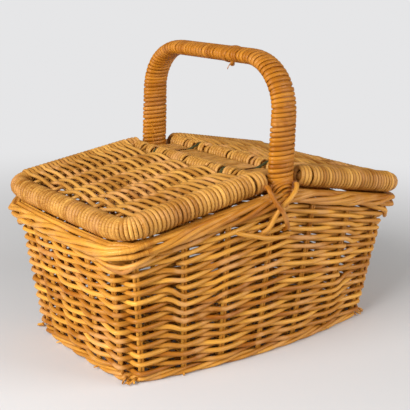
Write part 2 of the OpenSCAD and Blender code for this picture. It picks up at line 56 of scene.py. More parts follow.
# Seeds of the small differences between rods
WEAVE_SEED, STAKE_SEED, FOOT_SEED, BASE_SEED, RIM_SEED = 11, 23, 31, 37, 41
HANDLE_SEED, LASHING_SEED, BRIDGE_SEED, LID_SEED = 53, 59, 61, 71

# Body, in metres: its plan at the ground and the rim, the bow of its sides, its gables and its wall
BASE_L, BASE_W, RIM_L, RIM_W = 0.355, 0.192, 0.412, 0.228
BOW_LONG, BOW_END = 0.020, 0.006
RIM_CORNER_H, RIM_MID_H = 0.1465, 0.1835
WALL_T, WALL_Z, CORNER_SOFT = 0.011, 0.0092, 0.007

# Places of the stakes along each side, from -1 at one corner to 1 at the other
FRONT_STAKES = (-0.93, -0.657, -0.392, -0.098, 0.206, 0.54, 0.88)
BACK_STAKES = (-0.92, -0.62, -0.31, 0.0, 0.31, 0.62, 0.92)
RIGHT_STAKES = (-0.85, -0.42, 0.0, 0.42, 0.85)
LEFT_STAKES = (-0.78, -0.38, 0.03, 0.45, 0.85)
SIDE_STAKES = (FRONT_STAKES, RIGHT_STAKES, BACK_STAKES, LEFT_STAKES)
STAKE_N = sum(len(stakes) for stakes in SIDE_STAKES)
# Where a stake starts and ends, as shares of the wall's height
STAKE_FOOT, STAKE_HEAD = -0.02, 1.04
STAKE_GAP, STAKE_LEAN = 0.0002, 0.0003

# The rods are stouter at the right end and the back
SIDE_FULLNESS = (1.0, 1.14, 1.14, 1.0)
# How far a weaving rod strays sideways and up, and by what share its thickness changes
WEAVE_SWAY, WEAVE_LIFT, WEAVE_SWELL = 0.0004, 0.0006, 0.07
# Points of a rod from stake to stake, and of half a corner
WEAVE_STEPS, FOOT_STEPS, CORNER_STEPS = 8, 5, 4
# Short rows that fill out the gables: after which full row, and from which stake to which
SHORT_ROWS = ((12, 2, 5), (17, 1, 5), (21, 1, 6))
# Shares of a side: how far past its stakes a pair of short rows opens, over what run, and its turn
SHORT_LEAD, SHORT_RUN, SHORT_TURN = 0.10, 0.11, 0.035

# Foot border: twisted strands, and the cut stake ends that stick out of it
FOOT_STRANDS, FOOT_TURNS, FOOT_STRAND_D, FOOT_MID_Z = 3, 13, 0.0046, 0.00465
FOOT_SWING_OUT, FOOT_SWING_UP = 0.0024, 0.0022
CUT_END_T, CUT_WIDE_STEP, CUT_CLOSE_STEP = 0.99, 0.03, 0.012
CUT_END_D, CUT_TIP_D = (0.0026, 0.0024), (0.0012, 0.0022)
CUT_END_REACH, CUT_ROOT_Z, CUT_TIP_Z = (0.005, 0.0085), (0.003, 0.007), (0.0014, 0.0045)

# Base mat: strips woven over its sticks
BASE_HALF_L, BASE_HALF_W, BASE_MID_Z = 0.1603, 0.0848, 0.006
BASE_STICK_D, BASE_STICK_N = 0.005, 5
BASE_STRIP_N, BASE_STRIP_W, BASE_STRIP_T, BASE_STRIP_INSET = 56, 0.0054, 0.0019, 0.001

# Rim border: twisted strands, and two rods along its inner edge
BORDER_SEAT, BORDER_H, BORDER_W, BORDER_IN, BORDER_CUT = 0.0087, 0.017, 0.013, 0.002, 0.0161
BORDER_STRANDS, BORDER_TURNS, BORDER_PULL, BORDER_STEPS = 5, 7, 0.0008, 72
CORNER_PULL_X, CORNER_PULL_Y = 0.41, 0.37
INNER_MIN, INNER_MAX, INNER_AT_END, INNER_STEP, INNER_Y = 0.005, 0.011, 0.010, 0.0042, 0.116
INNER_LIFT, INNER_LIFT_AT_END, INNER_END_X, INNER_END_RUN = 0.0047, 0.0066, 0.185, 0.012
PALE_END_X, PALE_END_RUN = 0.17, 0.03
# Rods that sweep across a corner: lowest share of the wall's height, and share of the sides that they run
SWEEPS = ((0.955, 0.42), (0.915, 0.26))
SWEEP_HEAD, SWEEP_OUT = 1.02, 0.0022

# Handle: an oval hoop wound with cane, a little broader on its posts
HANDLE_Y, HANDLE_TOP, HANDLE_BEND, POST_Z = 0.115, 0.3228, 0.054, 0.1958
HANDLE_HALF_W, HANDLE_HALF_T, HANDLE_CANE_T, HANDLE_CORE_IN = 0.0164, 0.0087, 0.0024, 0.0008
POST_EXTRA, POST_RUN, POST_BLEND = 0.0009, 0.13, 0.05
# The foot of the handle at the front: its rod (outwards, up) and the route of its winding (across too)
FOOT_ROD_D, FOOT_ROD = 0.010, ((0.1103, 0.1088), (0.116, 0.1968))
FOOT_WIND = ((0, 0.115, 0.1985), (-0.0005, 0.1165, 0.1940), (-0.003, 0.1215, 0.1895),
             (-0.0065, 0.1290, 0.1850), (-0.010, 0.1350, 0.1805), (-0.013, 0.1392, 0.1750))
FOOT_WIND_R, FOOT_WIND_TIP_R, FOOT_WIND_PITCH = 0.0152, 0.0022, 0.0050
# The tucked end of the handle's cane: a slanted ring, the tuck below it and loose fibres from root to tip
KNOT_Y, KNOT_SLANT, KNOT_W, KNOT_IN = -0.030, 0.0045, 0.0048, 0.0003
GRIP_LOW = HANDLE_TOP - HANDLE_HALF_T - 0.0006
TUCK = ((-0.007, -0.038, GRIP_LOW + 0.002), (-0.003, -0.033, GRIP_LOW - 0.0016),
        (0.001, -0.029, GRIP_LOW - 0.0022), (0.004, -0.026, GRIP_LOW + 0.001))
TUCK_W, TUCK_T = 0.0050, 0.0036
FIBRES = (((0.0, -0.029, GRIP_LOW), (0.004, -0.017, GRIP_LOW - 0.009)),
          ((-0.002, -0.034, GRIP_LOW), (-0.004, -0.026, GRIP_LOW - 0.007)),
          ((-0.012, 0.109, 0.226), (-0.0150, 0.093, 0.217)),
          ((-0.012, 0.108, 0.215), (-0.0145, 0.096, 0.206)))
FIBRE_D, FIBRE_TIP_D, FIBRE_ARCH = 0.0008, 0.0004, 0.002

# Routes of the lashing rods at the front, in millimetres: across, outwards from the middle, up
LASHINGS = (
    ((-27, 122, 193), (-33, 131, 197), (-35.5, 138, 193), (-30.6, 142.2, 182.4),
     (-21.2, 144.6, 170.5), (-12, 141, 158), (-6.4, 136, 151), (-5, 129, 147)),
    ((14, 124, 193), (9, 131, 195), (0.7, 138.5, 191), (-9.9, 142.2, 184.7),
     (-18.1, 140.6, 177.9), (-26.2, 138.4, 167.1), (-32.4, 136, 155), (-37, 131, 149)),
    ((-72, 124, 155), (-67.2, 131, 152.5), (-50, 133.5, 148), (-35.5, 134.5, 143.7),
     (-18, 134, 141.5), (-3.1, 132, 140.4), (6, 126, 139)))
LASHING_W, LASHING_T = 0.0052, 0.0047

# Bridge: cane wound round its slat, with gaps for the ties
SLAT_Z, SLAT_HALF_W, SLAT_HALF_T = 0.1915, 0.019, 0.004
BRIDGE_END, BRIDGE_GAP, BRIDGE_INSET, BRIDGE_PITCH = 0.0995, 0.0025, 0.002, 0.0046
BRIDGE_CANE_T, BRIDGE_CANE_SHARE, BRIDGE_RAISE, BRIDGE_SQUARE = 0.0028, 0.86, 0.0010, 0.36
BRIDGE_HALF_W, BRIDGE_HALF_H = SLAT_HALF_W + 0.0010, SLAT_HALF_T + 0.0028
TIE_X, TIE_Y, TIE_R, TIE_D, TIE_APART = 0.0138, 0.062, 0.0067, 0.0019, 0.0022

# Lids: u runs from the hinge to the end, v across and w up from the frame
HINGE_X, HINGE_Z, LID_TILT = 0.032, 0.198, math.radians(9.471)
SIDE_V, END_U, LID_CORNER, ROLL_R, END_ROLL_R = 0.112, 0.1635, 0.015, 0.013, 0.0115
FRAME_D, FRAME_U0, FRAME_GAP = 0.0115, 0.012, 0.002
PANEL_U0, PANEL_PAST, PANEL_RISE = 0.0106, 0.002, 0.0048
PANEL_DROP, PANEL_DROP_U, PANEL_DROP_RUN = 0.0024, 0.010, 0.030
STRIP_SWAY, STRIP_FLAT, STRIP_SLIM_V, STRIP_SLIM_RUN, STRIP_WORN_V = 0.0005, 0.9, 0.088, 0.014, 0.095
# Curl of a strip round a roll: start, end and start of its tuck in degrees, and depth of the tuck
STRIP_CURL, HINGE_TURN_CURL = (52, 335, 230, 0.0022), (20, 338, 220, 0.0026)
LID_STICKS = (-0.083, -0.0415, 0.0, 0.0415, 0.083)
STICK_W, STICK_T, STICK_U0, STICK_U1, STICK_HOOK_R = 0.0040, 0.0038, 0.012, 0.155, 0.0068
# Plain turns of the rolls beside the hinge: u and radius
HINGE_TURNS = ((-0.0034, 0.0118), (0.0014, 0.0124), (0.0063, 0.0128))
HINGE_TURN_SLANT = 0.0012
# Binding of a lid's end: it hangs lower along the middle, is fuller there and slimmer in the corners
EDGE_CANE_T, EDGE_PITCH, EDGE_LEAD = 0.0040, 0.0055, 0.001
EDGE_DROP, EDGE_SAG, EDGE_SAG_RUN, EDGE_FULLER, EDGE_FULLER_RUN = 0.0004, 0.0031, 0.035, 0.0008, 0.02
EDGE_SLIM_PAST, EDGE_SLIM_RUN = 0.003, 0.006
HINGE_ROD_D, HINGE_ROD_V = 0.010, 0.116
HINGE_WRAP_V, HINGE_WRAP_R, HINGE_WRAP_W, HINGE_WRAP_T = 0.1150, 0.0100, 0.0042, 0.0034
HINGE_WRAP_PITCH, HINGE_WRAP_INSET, STICK_GAP, TIE_GAP = 0.0045, 0.002, 0.0026, 0.0028

# Shades inside the cane
LINE_SHADE, SPECK_SHADE = (0.50, 0.36, 0.24, 1), (0.12, 0.05, 0.015, 1)
UV_PER_METRE, WELD = 10, 1e-7

# Stage: places in metres, angles in degrees, the camera's focal length in pixels of the photo
SKY_TINT, FADE_FROM, FADE_TO, FLOOR_REACH = (1, 0.955, 0.89, 1), 0.30, 1.1, 6.0
LAMP_TARGET, FILL_SHARE = (0, 0, 0.12), 0.55
KEY_AT, KEY_SIZE, FILL_AT, FILL_SIZE = (-1.55, -0.35, 0.85), 1.1, (1.1, -1.4, 0.8), 1.3
CAMERA_AT, CAMERA_AZIMUTH, CAMERA_ELEVATION, CAMERA_ROLL = (-0.6257, -0.7561, 0.4014), -39.24, 14.70, 1.85
SENSOR_W, FOCAL_PIXELS, PHOTO_PIXELS = 36.0, 861.2, 410


class BasketRods(bpy.types.PropertyGroup):
    """Thicknesses and counts of the cane"""
    weaver_d: FloatProperty(
        name="Weaver", description="Thickness of a weaving rod", default=0.0051, unit="LENGTH")
    stake_d: FloatProperty(
        name="Stake", description="Thickness of one rod of a stake pair", default=0.0037, unit="LENGTH")
    border_d: FloatProperty(
        name="Border strand", description="Thickness of a border strand", default=0.0058, unit="LENGTH")
    strip_w: FloatProperty(
        name="Lid strip", description="Width of a lid's weaving strip", default=0.0048, unit="LENGTH")
    strip_t: FloatProperty(
        name="Lid strip thickness", description="Thickness of a lid's strip", default=0.0042, unit="LENGTH")
    wrap_w: FloatProperty(
        name="Handle cane", description="Width of the cane on the handle", default=0.0044, unit="LENGTH")
    wrap_pitch: FloatProperty(
        name="Handle pitch", description="Rise of one turn on the handle", default=0.0049, unit="LENGTH")
    bind_w: FloatProperty(
        name="Binding cane", description="Width of the cane on the lid edges", default=0.0052, unit="LENGTH")
    row_n: IntProperty(name="Rows", description="Full rows of weaving from foot to border", default=26)
    strip_n: IntProperty(name="Lid strips", description="Strips across a lid", default=28)


class BasketFinish(bpy.types.PropertyGroup):
    """Colours of the cane"""
    body_light: FloatVectorProperty(
        name="Body light", description="Pale honey of the body", subtype="COLOR", size=4,
        default=(0.94, 0.485, 0.074, 1))
    body_deep: FloatVectorProperty(
        name="Body deep", description="Deep honey of the body", subtype="COLOR", size=4,
        default=(0.36, 0.104, 0.003, 1))
    lid_light: FloatVectorProperty(
        name="Lid light", description="Straw of the lids", subtype="COLOR", size=4,
        default=(0.88, 0.485, 0.108, 1))
    lid_deep: FloatVectorProperty(
        name="Lid deep", description="Tan of the lids", subtype="COLOR", size=4,
        default=(0.32, 0.108, 0.007, 1))
    handle_light: FloatVectorProperty(
        name="Handle light", description="Amber of the handle", subtype="COLOR", size=4,
        default=(0.70, 0.285, 0.022, 1))
    handle_deep: FloatVectorProperty(
        name="Handle deep", description="Brown of the handle", subtype="COLOR", size=4,
        default=(0.36, 0.108, 0.004, 1))
    worn: FloatVectorProperty(
        name="Worn", description="Pinkish worn cane", subtype="COLOR", size=4,
        default=(0.66, 0.33, 0.11, 1))
    cord: FloatVectorProperty(
        name="Tie cord", description="Olive-black of the hinge ties", subtype="COLOR", size=4,
        default=(0.042, 0.039, 0.014, 1))


class BasketStage(bpy.types.PropertyGroup):
    """Floor, background and light"""
    floor: FloatVectorProperty(
        name="Floor", description="Colour of the floor", subtype="COLOR", size=4,
        default=(0.69, 0.69, 0.70, 1))
    background: FloatVectorProperty(
        name="Background", description="Colour behind the basket", subtype="COLOR", size=4,
        default=(0.79, 0.79, 0.80, 1))
    sky: FloatProperty(name="Sky", description="Strength of the even light", default=0.25)
    key: FloatProperty(name="Key", description="Power of the main lamp", default=42.0, unit="POWER")


def mix(a, b, f):
    return a + (b - a) * f


def share(f):
    """f kept between 0 and 1"""
    return min(1.0, max(0.0, f))


def smooth(f):
    """A soft step from 0 to 1"""
    f = share(f)
    return f * f * (3 - 2 * f)


def signed_power(x, power):
    return math.copysign(abs(x) ** power, x)


def between(count, steps):
    """Every (k, f) from knot to knot, f from 0 towards 1"""
    return [(k, i / steps) for k in range(count - 1) for i in range(steps)]


class Wobble:
    """A slow seeded wander between about -1 and 1"""
    heights = (0.5, 0.32, 0.18)

    def __init__(self, rng, waves):
        self.waves = [(w, rng.uniform(0, math.tau), a) for w, a in zip(waves, self.heights)]

    def __call__(self, x):
        return sum(a * math.sin(w * x + p) for w, p, a in self.waves)


# Body shape

def rim_z(x):
    """Height of the rim, which falls from its middle to the corners"""
    return mix(RIM_MID_H, RIM_CORNER_H, min(1, abs(x) / (RIM_L / 2)))


def half_l(s):
    """Half the body's length at a share of its height"""
    return mix(BASE_L, RIM_L, s) / 2


def half_w(s):
    """Half its width there"""
    return mix(BASE_W, RIM_W, s) / 2


def is_long(side):
    return side in (FRONT, BACK)


def wall_point(side, t, f, d):
    """A point of a side: t along it, f up it, d in from its face"""
    x0 = half_l(f) * (t if is_long(side) else 1)
    z = mix(WALL_Z, rim_z(x0) - BORDER_SEAT, f)
    s = z / RIM_MID_H
    if is_long(side):
        p = Vector(((half_l(s) - d) * t, -(half_w(s) - d + BOW_LONG * (1 - t * t)), z))
    else:
        p = Vector((half_l(s) - d + BOW_END * (1 - t * t), (half_w(s) - d) * t, z))
    if side in (BACK, LEFT):
        p.x, p.y = -p.x, -p.y
    return p


def corner_point(side, t, f, d):
    """The same for a rod that runs straight across a corner between its two stakes"""
    edge = abs(SIDE_STAKES[side][0 if t < 0 else -1])
    past = max(0.0, (abs(t) - edge) / (1 - edge))
    return wall_point(side, t, f, d + CORNER_SOFT * past)


def round_trip(steps):
    """Stations (side, t, phase) all the way round, one unit of phase from stake to stake"""
    stations, phase = [], 0
    for side, stakes in enumerate(SIDE_STAKES):
        following = (side + 1) % 4
        for k, f in between(len(stakes), steps):
            stations.append((side, mix(stakes[k], stakes[k + 1], f), phase + k + f))
        phase += len(stakes) - 1
        for i in range(CORNER_STEPS + 1):
            f = i / CORNER_STEPS
            stations.append((side, mix(stakes[-1], 1, f), phase + 0.5 * f))
        for i in range(1, CORNER_STEPS):
            f = i / CORNER_STEPS
            stations.append((following, mix(-1, SIDE_STAKES[following][0], f), phase + 0.5 + 0.5 * f))
        phase += 1
    return stations


def short_weights(side, t):
    """How far each pair of short rows is open at t on that side"""
    if not is_long(side):
        return [0.0] * len(SHORT_ROWS)
    weights = []
    for _, a, b in SHORT_ROWS:
        first, last = SIDE_STAKES[side][a], SIDE_STAKES[side][b]
        opened = smooth((t - first + SHORT_LEAD) / SHORT_RUN)
        weights.append(opened * smooth((last + SHORT_LEAD - t) / SHORT_RUN))
    return weights


def full_row_height(row, row_n, side, t):
    """Share of the wall's height at which a full row runs"""
    w = short_weights(side, t)
    below = sum(2 * x for x, (after, _, _) in zip(w, SHORT_ROWS) if after < row)
    return (row + 0.5 + below) / (row_n + 2 * sum(w))


def short_row_height(pair, second, row_n, side, t):
    """The same for the first or second row of a short pair"""
    w = short_weights(side, t)
    below = SHORT_ROWS[pair][0] + 1 + sum(2 * x for x in w[:pair])
    return (below + w[pair] * (1.5 if second else 0.5)) / (row_n + 2 * sum(w))


def border_loop():
    """Points round the rim at the border's centre"""
    a, b, cut = RIM_L / 2 - BORDER_IN, RIM_W / 2 - BORDER_IN, BORDER_CUT
    loop = []
    for side in range(4):
        long = is_long(side)
        reach = 1 - cut / (a if long else b)
        count = BORDER_STEPS if long else BORDER_STEPS // 2
        for i in range(count + 1):
            t = (2 * i / count - 1) * reach
            x, y = (a * t, -(b + BOW_LONG * (1 - t * t))) if long else (a + BOW_END * (1 - t * t), b * t)
            if side in (BACK, LEFT):
                x, y = -x, -y
            loop.append(Vector((x, y, rim_z(x))))
        x = (a - CORNER_PULL_X * cut) * (1 if side in (FRONT, RIGHT) else -1)
        y = (b - CORNER_PULL_Y * cut) * (1 if side in (RIGHT, BACK) else -1)
        loop.append(Vector((x, y, rim_z(x))))
    return loop


def hoop_core():
    """Core samples of the handle from the front foot over to the back one"""
    flat, spring = HANDLE_Y - HANDLE_BEND, HANDLE_TOP - HANDLE_BEND
    front = [(HANDLE_Y, mix(POST_Z, spring, i / 10)) for i in range(11)]
    for i in range(1, 13):
        a = math.pi / 2 * i / 12
        front.append((flat + HANDLE_BEND * math.cos(a), spring + HANDLE_BEND * math.sin(a)))
    points = [Vector((0, -y, z)) for y, z in front]
    points += [Vector((0, mix(-flat, flat, i / 16), HANDLE_TOP)) for i in range(1, 16)]
    points += [Vector((0, y, z)) for y, z in reversed(front)]
    return core_of(points, X_AXIS)


def lid_point(side, u, v, w):
    """A point of the right (1) or left (-1) lid"""
    c, s = math.cos(LID_TILT), math.sin(LID_TILT)
    return Vector((side * (HINGE_X + u * c + w * s), v, HINGE_Z - u * s + w * c))


def panel_w(u):
    """Height of a lid's panel over its frame line, lower by the hinge"""
    return PANEL_RISE - PANEL_DROP * (1 - smooth((u - PANEL_DROP_U) / PANEL_DROP_RUN))


def curl(radius, bends, count):
    """Stations (angle, v, w) of a strip round the back roll of a lid, tucked in towards its end"""
    start, stop, tuck_from, tuck = bends
    stations = []
    for i in range(count):
        angle = mix(start, stop, i / (count - 1))
        r = radius - tuck * smooth((angle - tuck_from) / (stop - tuck_from))
        a = math.radians(angle)
        stations.append((a, SIDE_V - r * math.cos(a), r * math.sin(a)))
    return stations


def lid_strip(j, u, strip_t):
    """Route (v, w) of one strip: round the front roll, over and under the sticks, round the back roll"""
    swing = (STICK_W + strip_t) / 2
    back = [(v, w) for _, v, w in curl(ROLL_R - strip_t / 2, STRIP_CURL, 15)]
    front = [(-v, w) for v, w in reversed(back)]
    woven = [(v, panel_w(u) + swing * (1 if (k + j) % 2 else -1)) for k, v in enumerate(LID_STICKS)]
    knots = [front[-1]] + woven + [back[0]]
    route = front[:-1]
    for k, f in between(len(knots), 8):
        route.append((mix(knots[k][0], knots[k + 1][0], f), mix(knots[k][1], knots[k + 1][1], smooth(f))))
    return route + back


# Rods

def spline(knots, steps):
    """A smooth curve through knots"""
    knots = [Vector(p) for p in knots]
    last = len(knots) - 1
    out = []
    for k, f in between(len(knots), steps):
        p0, p1, p2, p3 = knots[max(k - 1, 0)], knots[k], knots[k + 1], knots[min(k + 2, last)]
        out.append(p1 + (p2 - p0) * (0.5 * f) + (p0 * 2 - p1 * 5 + p2 * 4 - p3) * (0.5 * f * f)
                   + (p1 * 3 - p0 - p2 * 3 + p3) * (0.5 * f * f * f))
    return out + [knots[last]]


def listed(value, n):
    return value if isinstance(value, (list, tuple)) else [value] * n


def add_rod(bm, path, axis, width, thick=None, sides=7, closed=False, tone=0.5, wear=0.0, flat=1.0):
    """Rolls a grid round a path and adds it to bm: width lies along axis, thick across it"""
    n = len(path)
    axes, widths, tones, wears = (listed(value, n) for value in (axis, width, tone, wear))
    thicks = widths if thick is None else listed(thick, n)
    rings = n if closed else n - 1
    rod = bmesh.new()
    tone_layer = rod.verts.layers.float.new("tone")
    wear_layer = rod.verts.layers.float.new("wear")
    uv_layer = rod.loops.layers.uv.new("UVMap")
    grid = bmesh.ops.create_grid(rod, x_segments=sides, y_segments=rings, size=0.5)["verts"]
    rod.verts.index_update()
    turns = [math.tau * (i % sides) / sides for i in range(sides + 1)]
    section = [(signed_power(math.cos(a), flat) / 2, signed_power(math.sin(a), flat) / 2) for a in turns]
    along = [0.0]
    for j in range(rings):
        along.append(along[-1] + (path[(j + 1) % n] - path[j]).length)
    for j in range(rings + 1):
        k = j % n
        before = path[k - 1] if closed or k else path[k]
        after = path[(k + 1) % n] if closed or k < n - 1 else path[k]
        tangent = (after - before).normalized()
        wide = axes[k] - tangent * tangent.dot(axes[k])
        wide.normalize()
        deep = tangent.cross(wide)
        for i, (a, b) in enumerate(section):
            v = grid[j * (sides + 1) + i]
            v.co = path[k] + wide * (a * widths[k]) + deep * (b * thicks[k])
            v[tone_layer] = tones[k]
            v[wear_layer] = wears[k]
    for face in rod.faces:
        face.smooth = True
        for loop in face.loops:
            j, i = divmod(loop.vert.index, sides + 1)
            loop[uv_layer].uv = (i / sides, along[j] * UV_PER_METRE)
    bmesh.ops.remove_doubles(rod, verts=rod.verts[:], dist=WELD)
    if not closed:
        bmesh.ops.holes_fill(rod, edges=[e for e in rod.edges if e.is_boundary], sides=sides + 1)
    bmesh.ops.recalc_face_normals(rod, faces=rod.faces[:])
    part = bpy.data.meshes.new("rod")
    rod.to_mesh(part)
    rod.free()
    bm.from_mesh(part)
    bpy.data.meshes.remove(part)


def core_of(points, normal):
    """Samples (point, tangent, normal, run) along points"""
    last = len(points) - 1
    run, out = 0.0, []
    for k, p in enumerate(points):
        if k:
            run += (p - points[k - 1]).length
        tangent = (points[min(k + 1, last)] - points[max(k - 1, 0)]).normalized()
        out.append((p, tangent, normal, run))
    return out


def value_at(value, run):
    return value(run) if callable(value) else value


def winding(core, radius, pitch, per_turn, start=0.0, wander=0.0, squash=1.0):
    """A helix round core samples: its points, its axes and the run along the core at each"""
    points, axes, runs = [], [], []
    length = core[-1][3]
    steps = int(length / pitch * per_turn)
    at = 0
    for i in range(steps + 1):
        run = length * i / steps
        while at < len(core) - 2 and core[at + 1][3] < run:
            at += 1
        (p0, t0, n0, r0), (p1, t1, n1, r1) = core[at], core[at + 1]
        f = (run - r0) / (r1 - r0)
        p, t, n = p0.lerp(p1, f), t0.lerp(t1, f).normalized(), n0.lerp(n1, f)
        a = start + math.tau * (run + value_at(wander, run)) / pitch
        side = t.cross(n).normalized() * (math.sin(a) * value_at(squash, run))
        points.append(p + (n * math.cos(a) + side) * value_at(radius, run))
        axes.append(t)
        runs.append(run)
    return points, axes, runs


def turn_tones(shades, runs, pitch):
    """Tones along a winding: one shade a turn, with a short blend into the next"""
    tones = []
    for run in runs:
        k, f = divmod(run / pitch, 1)
        tones.append(mix(shades[int(k)], shades[int(k) + 1], smooth(4 * f - 3)))
    return tones


def new_piece():
    bm = bmesh.new()
    bm.verts.layers.float.new("tone")
    bm.verts.layers.float.new("wear")
    bm.loops.layers.uv.new("UVMap")
    return bm


def finish_piece(bm, name, body, slot, material, *nodes):
    """Makes the piece's object, parents it to the empty of the body that it rides on and hides the solids
    that it stands for
    """
    mesh = bpy.data.meshes.new(name)
    bm.to_mesh(mesh)
    bm.free()
    mesh.materials.append(material)
    piece = bpy.data.objects.new(name, mesh)
    bpy.context.scene.collection.objects.link(piece)
    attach(piece, body)
    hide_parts(*nodes)


def dress_node(name, material):
    """Gives a solid that stays in view its finish"""
    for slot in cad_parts[name].material_slots:
        slot.material = material


# Materials

def new_group(name, inputs, outputs):
    tree = bpy.data.node_groups.new(name, "ShaderNodeTree")
    for label, kind, value in inputs:
        socket = tree.interface.new_socket(name=label, in_out="INPUT", socket_type=kind)
        socket.default_value = value
    for label, kind in outputs:
        tree.interface.new_socket(name=label, in_out="OUTPUT", socket_type=kind)
    return tree, tree.nodes.new("NodeGroupInput"), tree.nodes.new("NodeGroupOutput")


def group_node(tree, name, build):
    """Places a node group, which is built the first time"""
    node = tree.nodes.new("ShaderNodeGroup")
    node.node_tree = bpy.data.node_groups.get(name) or build()
    return node


def set_inputs(node, values):
    for label, value in values.items():
        node.inputs[label].default_value = value


def plug(tree, sockets, values):
    """Sets each socket to a plain value, or links it to another node's output"""
    for socket, value in zip(sockets, values):
        if isinstance(value, (int, float, tuple)):
            socket.default_value = value
        else:
            tree.links.new(value, socket)


def math_node(tree, operation, *values, clamp=False):
    node = tree.nodes.new("ShaderNodeMath")
    node.operation = operation
    node.use_clamp = clamp
    plug(tree, node.inputs, values)
    return node.outputs[0]


def times(tree, a, b, clamp=False):
    return math_node(tree, "MULTIPLY", a, b, clamp=clamp)


def plus(tree, a, b):
    return math_node(tree, "ADD", a, b)


def blend_node(tree, factor, a, b, blend_type="MIX"):
    node = tree.nodes.new("ShaderNodeMix")
    node.data_type = "RGBA"
    node.blend_type = blend_type
    plug(tree, (node.inputs[0], node.inputs[6], node.inputs[7]), (factor, a, b))
    return node.outputs[2]


def ramp_node(tree, value, low, high):
    node = tree.nodes.new("ShaderNodeMapRange")
    node.interpolation_type = "SMOOTHSTEP"
    tree.links.new(value, node.inputs["Value"])
    set_inputs(node, {"From Min": low, "From Max": high})
    return node.outputs["Result"]


def noise_node(tree, vector, scale, detail=2.0):
    node = tree.nodes.new("ShaderNodeTexNoise")
    set_inputs(node, {"Scale": scale, "Detail": detail})
    tree.links.new(vector, node.inputs["Vector"])
    return node.outputs["Fac"]


def attribute_node(tree, name):
    node = tree.nodes.new("ShaderNodeAttribute")
    node.attribute_name = name
    return node.outputs["Fac"]


def vector_node(tree, x, y, z):
    node = tree.nodes.new("ShaderNodeCombineXYZ")
    plug(tree, node.inputs, (x, y, z))
    return node.outputs[0]


def uv_node(tree):
    node = tree.nodes.new("ShaderNodeUVMap")
    node.uv_map = "UVMap"
    return node.outputs[0]


def object_place(tree):
    return tree.nodes.new("ShaderNodeTexCoord").outputs["Object"]


def bump_node(tree, height, strength, distance):
    node = tree.nodes.new("ShaderNodeBump")
    set_inputs(node, {"Strength": strength, "Distance": distance})
    tree.links.new(height, node.inputs["Height"])
    return node.outputs["Normal"]


def seen_by_camera(tree):
    return tree.nodes.new("ShaderNodeLightPath").outputs["Is Camera Ray"]


def blend_shaders(tree, factor, first, second, out):
    """Puts out the first shader where factor is 0 and the second where it is 1"""
    blend = tree.nodes.new("ShaderNodeMixShader")
    plug(tree, blend.inputs, (factor, first.outputs[0], second.outputs[0]))
    tree.links.new(blend.outputs[0], out.inputs["Surface"])


def fibre_group():
    """Long fibres, slow patches and dark specks that follow each rod along its length"""
    number = "NodeSocketFloat"
    tree, gin, gout = new_group(
        "Cane Fibre",
        [("Fineness", number, 2.2), ("Length", number, 1.6)],
        [("Fibre", number), ("Patch", number), ("Speck", number)])
    split = tree.nodes.new("ShaderNodeSeparateXYZ")
    tree.links.new(uv_node(tree), split.inputs[0])
    across, along = split.outputs[0], split.outputs[1]
    turn = times(tree, across, math.tau)
    round_x = times(tree, math_node(tree, "COSINE", turn), gin.outputs["Fineness"])
    round_y = times(tree, math_node(tree, "SINE", turn), gin.outputs["Fineness"])
    offset = times(tree, attribute_node(tree, "tone"), 53.0)
    run = plus(tree, times(tree, along, gin.outputs["Length"]), offset)
    fibre = noise_node(tree, vector_node(tree, round_x, round_y, run), 2.4, 3.0)
    patch = noise_node(tree, vector_node(tree, offset, 0.0, along), 1.3)
    speck = noise_node(tree, vector_node(tree, round_x, round_y, times(tree, run, 6.0)), 2.6)
    tree.links.new(ramp_node(tree, fibre, 0.30, 0.70), gout.inputs["Fibre"])
    tree.links.new(ramp_node(tree, patch, 0.28, 0.72), gout.inputs["Patch"])
    tree.links.new(ramp_node(tree, speck, 0.66, 0.78), gout.inputs["Speck"])
    return tree


def tint_group():
    """Cane colour from a light and a deep tone, with worn pinkish spots and dark specks"""
    number, colour = "NodeSocketFloat", "NodeSocketColor"
    tree, gin, gout = new_group(
        "Cane Tint",
        [("Fibre", number, 0.5), ("Patch", number, 0.5), ("Speck", number, 0.0),
         ("Light", colour, (0.7, 0.4, 0.1, 1)), ("Deep", colour, (0.4, 0.2, 0.05, 1)),
         ("Worn", colour, (0.6, 0.33, 0.2, 1)), ("Worn Share", number, 0.5)],
        [("Color", colour), ("Roughness", number), ("Height", number)])
    fibre, speck = gin.outputs["Fibre"], gin.outputs["Speck"]
    tone, wear = attribute_node(tree, "tone"), attribute_node(tree, "wear")
    level = plus(tree, times(tree, tone, 0.55), times(tree, gin.outputs["Patch"], 0.45))
    base = blend_node(tree, level, gin.outputs["Deep"], gin.outputs["Light"])
    lines = times(tree, math_node(tree, "SUBTRACT", 1.0, fibre), 0.55)
    lined = blend_node(tree, lines, base, LINE_SHADE, "MULTIPLY")
    spots = ramp_node(tree, noise_node(tree, object_place(tree), 34.0, 3.0), 0.50, 0.66)
    worn = times(tree, times(tree, spots, wear), gin.outputs["Worn Share"], clamp=True)
    aged = blend_node(tree, worn, lined, gin.outputs["Worn"])
    marked = blend_node(tree, times(tree, speck, 0.6), aged, SPECK_SHADE)
    rough = plus(tree, times(tree, fibre, -0.10), 0.46)
    tree.links.new(marked, gout.inputs["Color"])
    tree.links.new(plus(tree, rough, times(tree, worn, 0.15)), gout.inputs["Roughness"])
    tree.links.new(math_node(tree, "SUBTRACT", fibre, times(tree, speck, 0.8)), gout.inputs["Height"])
    return tree


def made_once(name, build):
    """The material of that name; build lays out its nodes the first time"""
    material = bpy.data.materials.get(name)
    if material is None:
        material = bpy.data.materials.new(name)
        material.use_nodes = True
        build(material.node_tree, material.node_tree.nodes["Principled BSDF"])
    return material


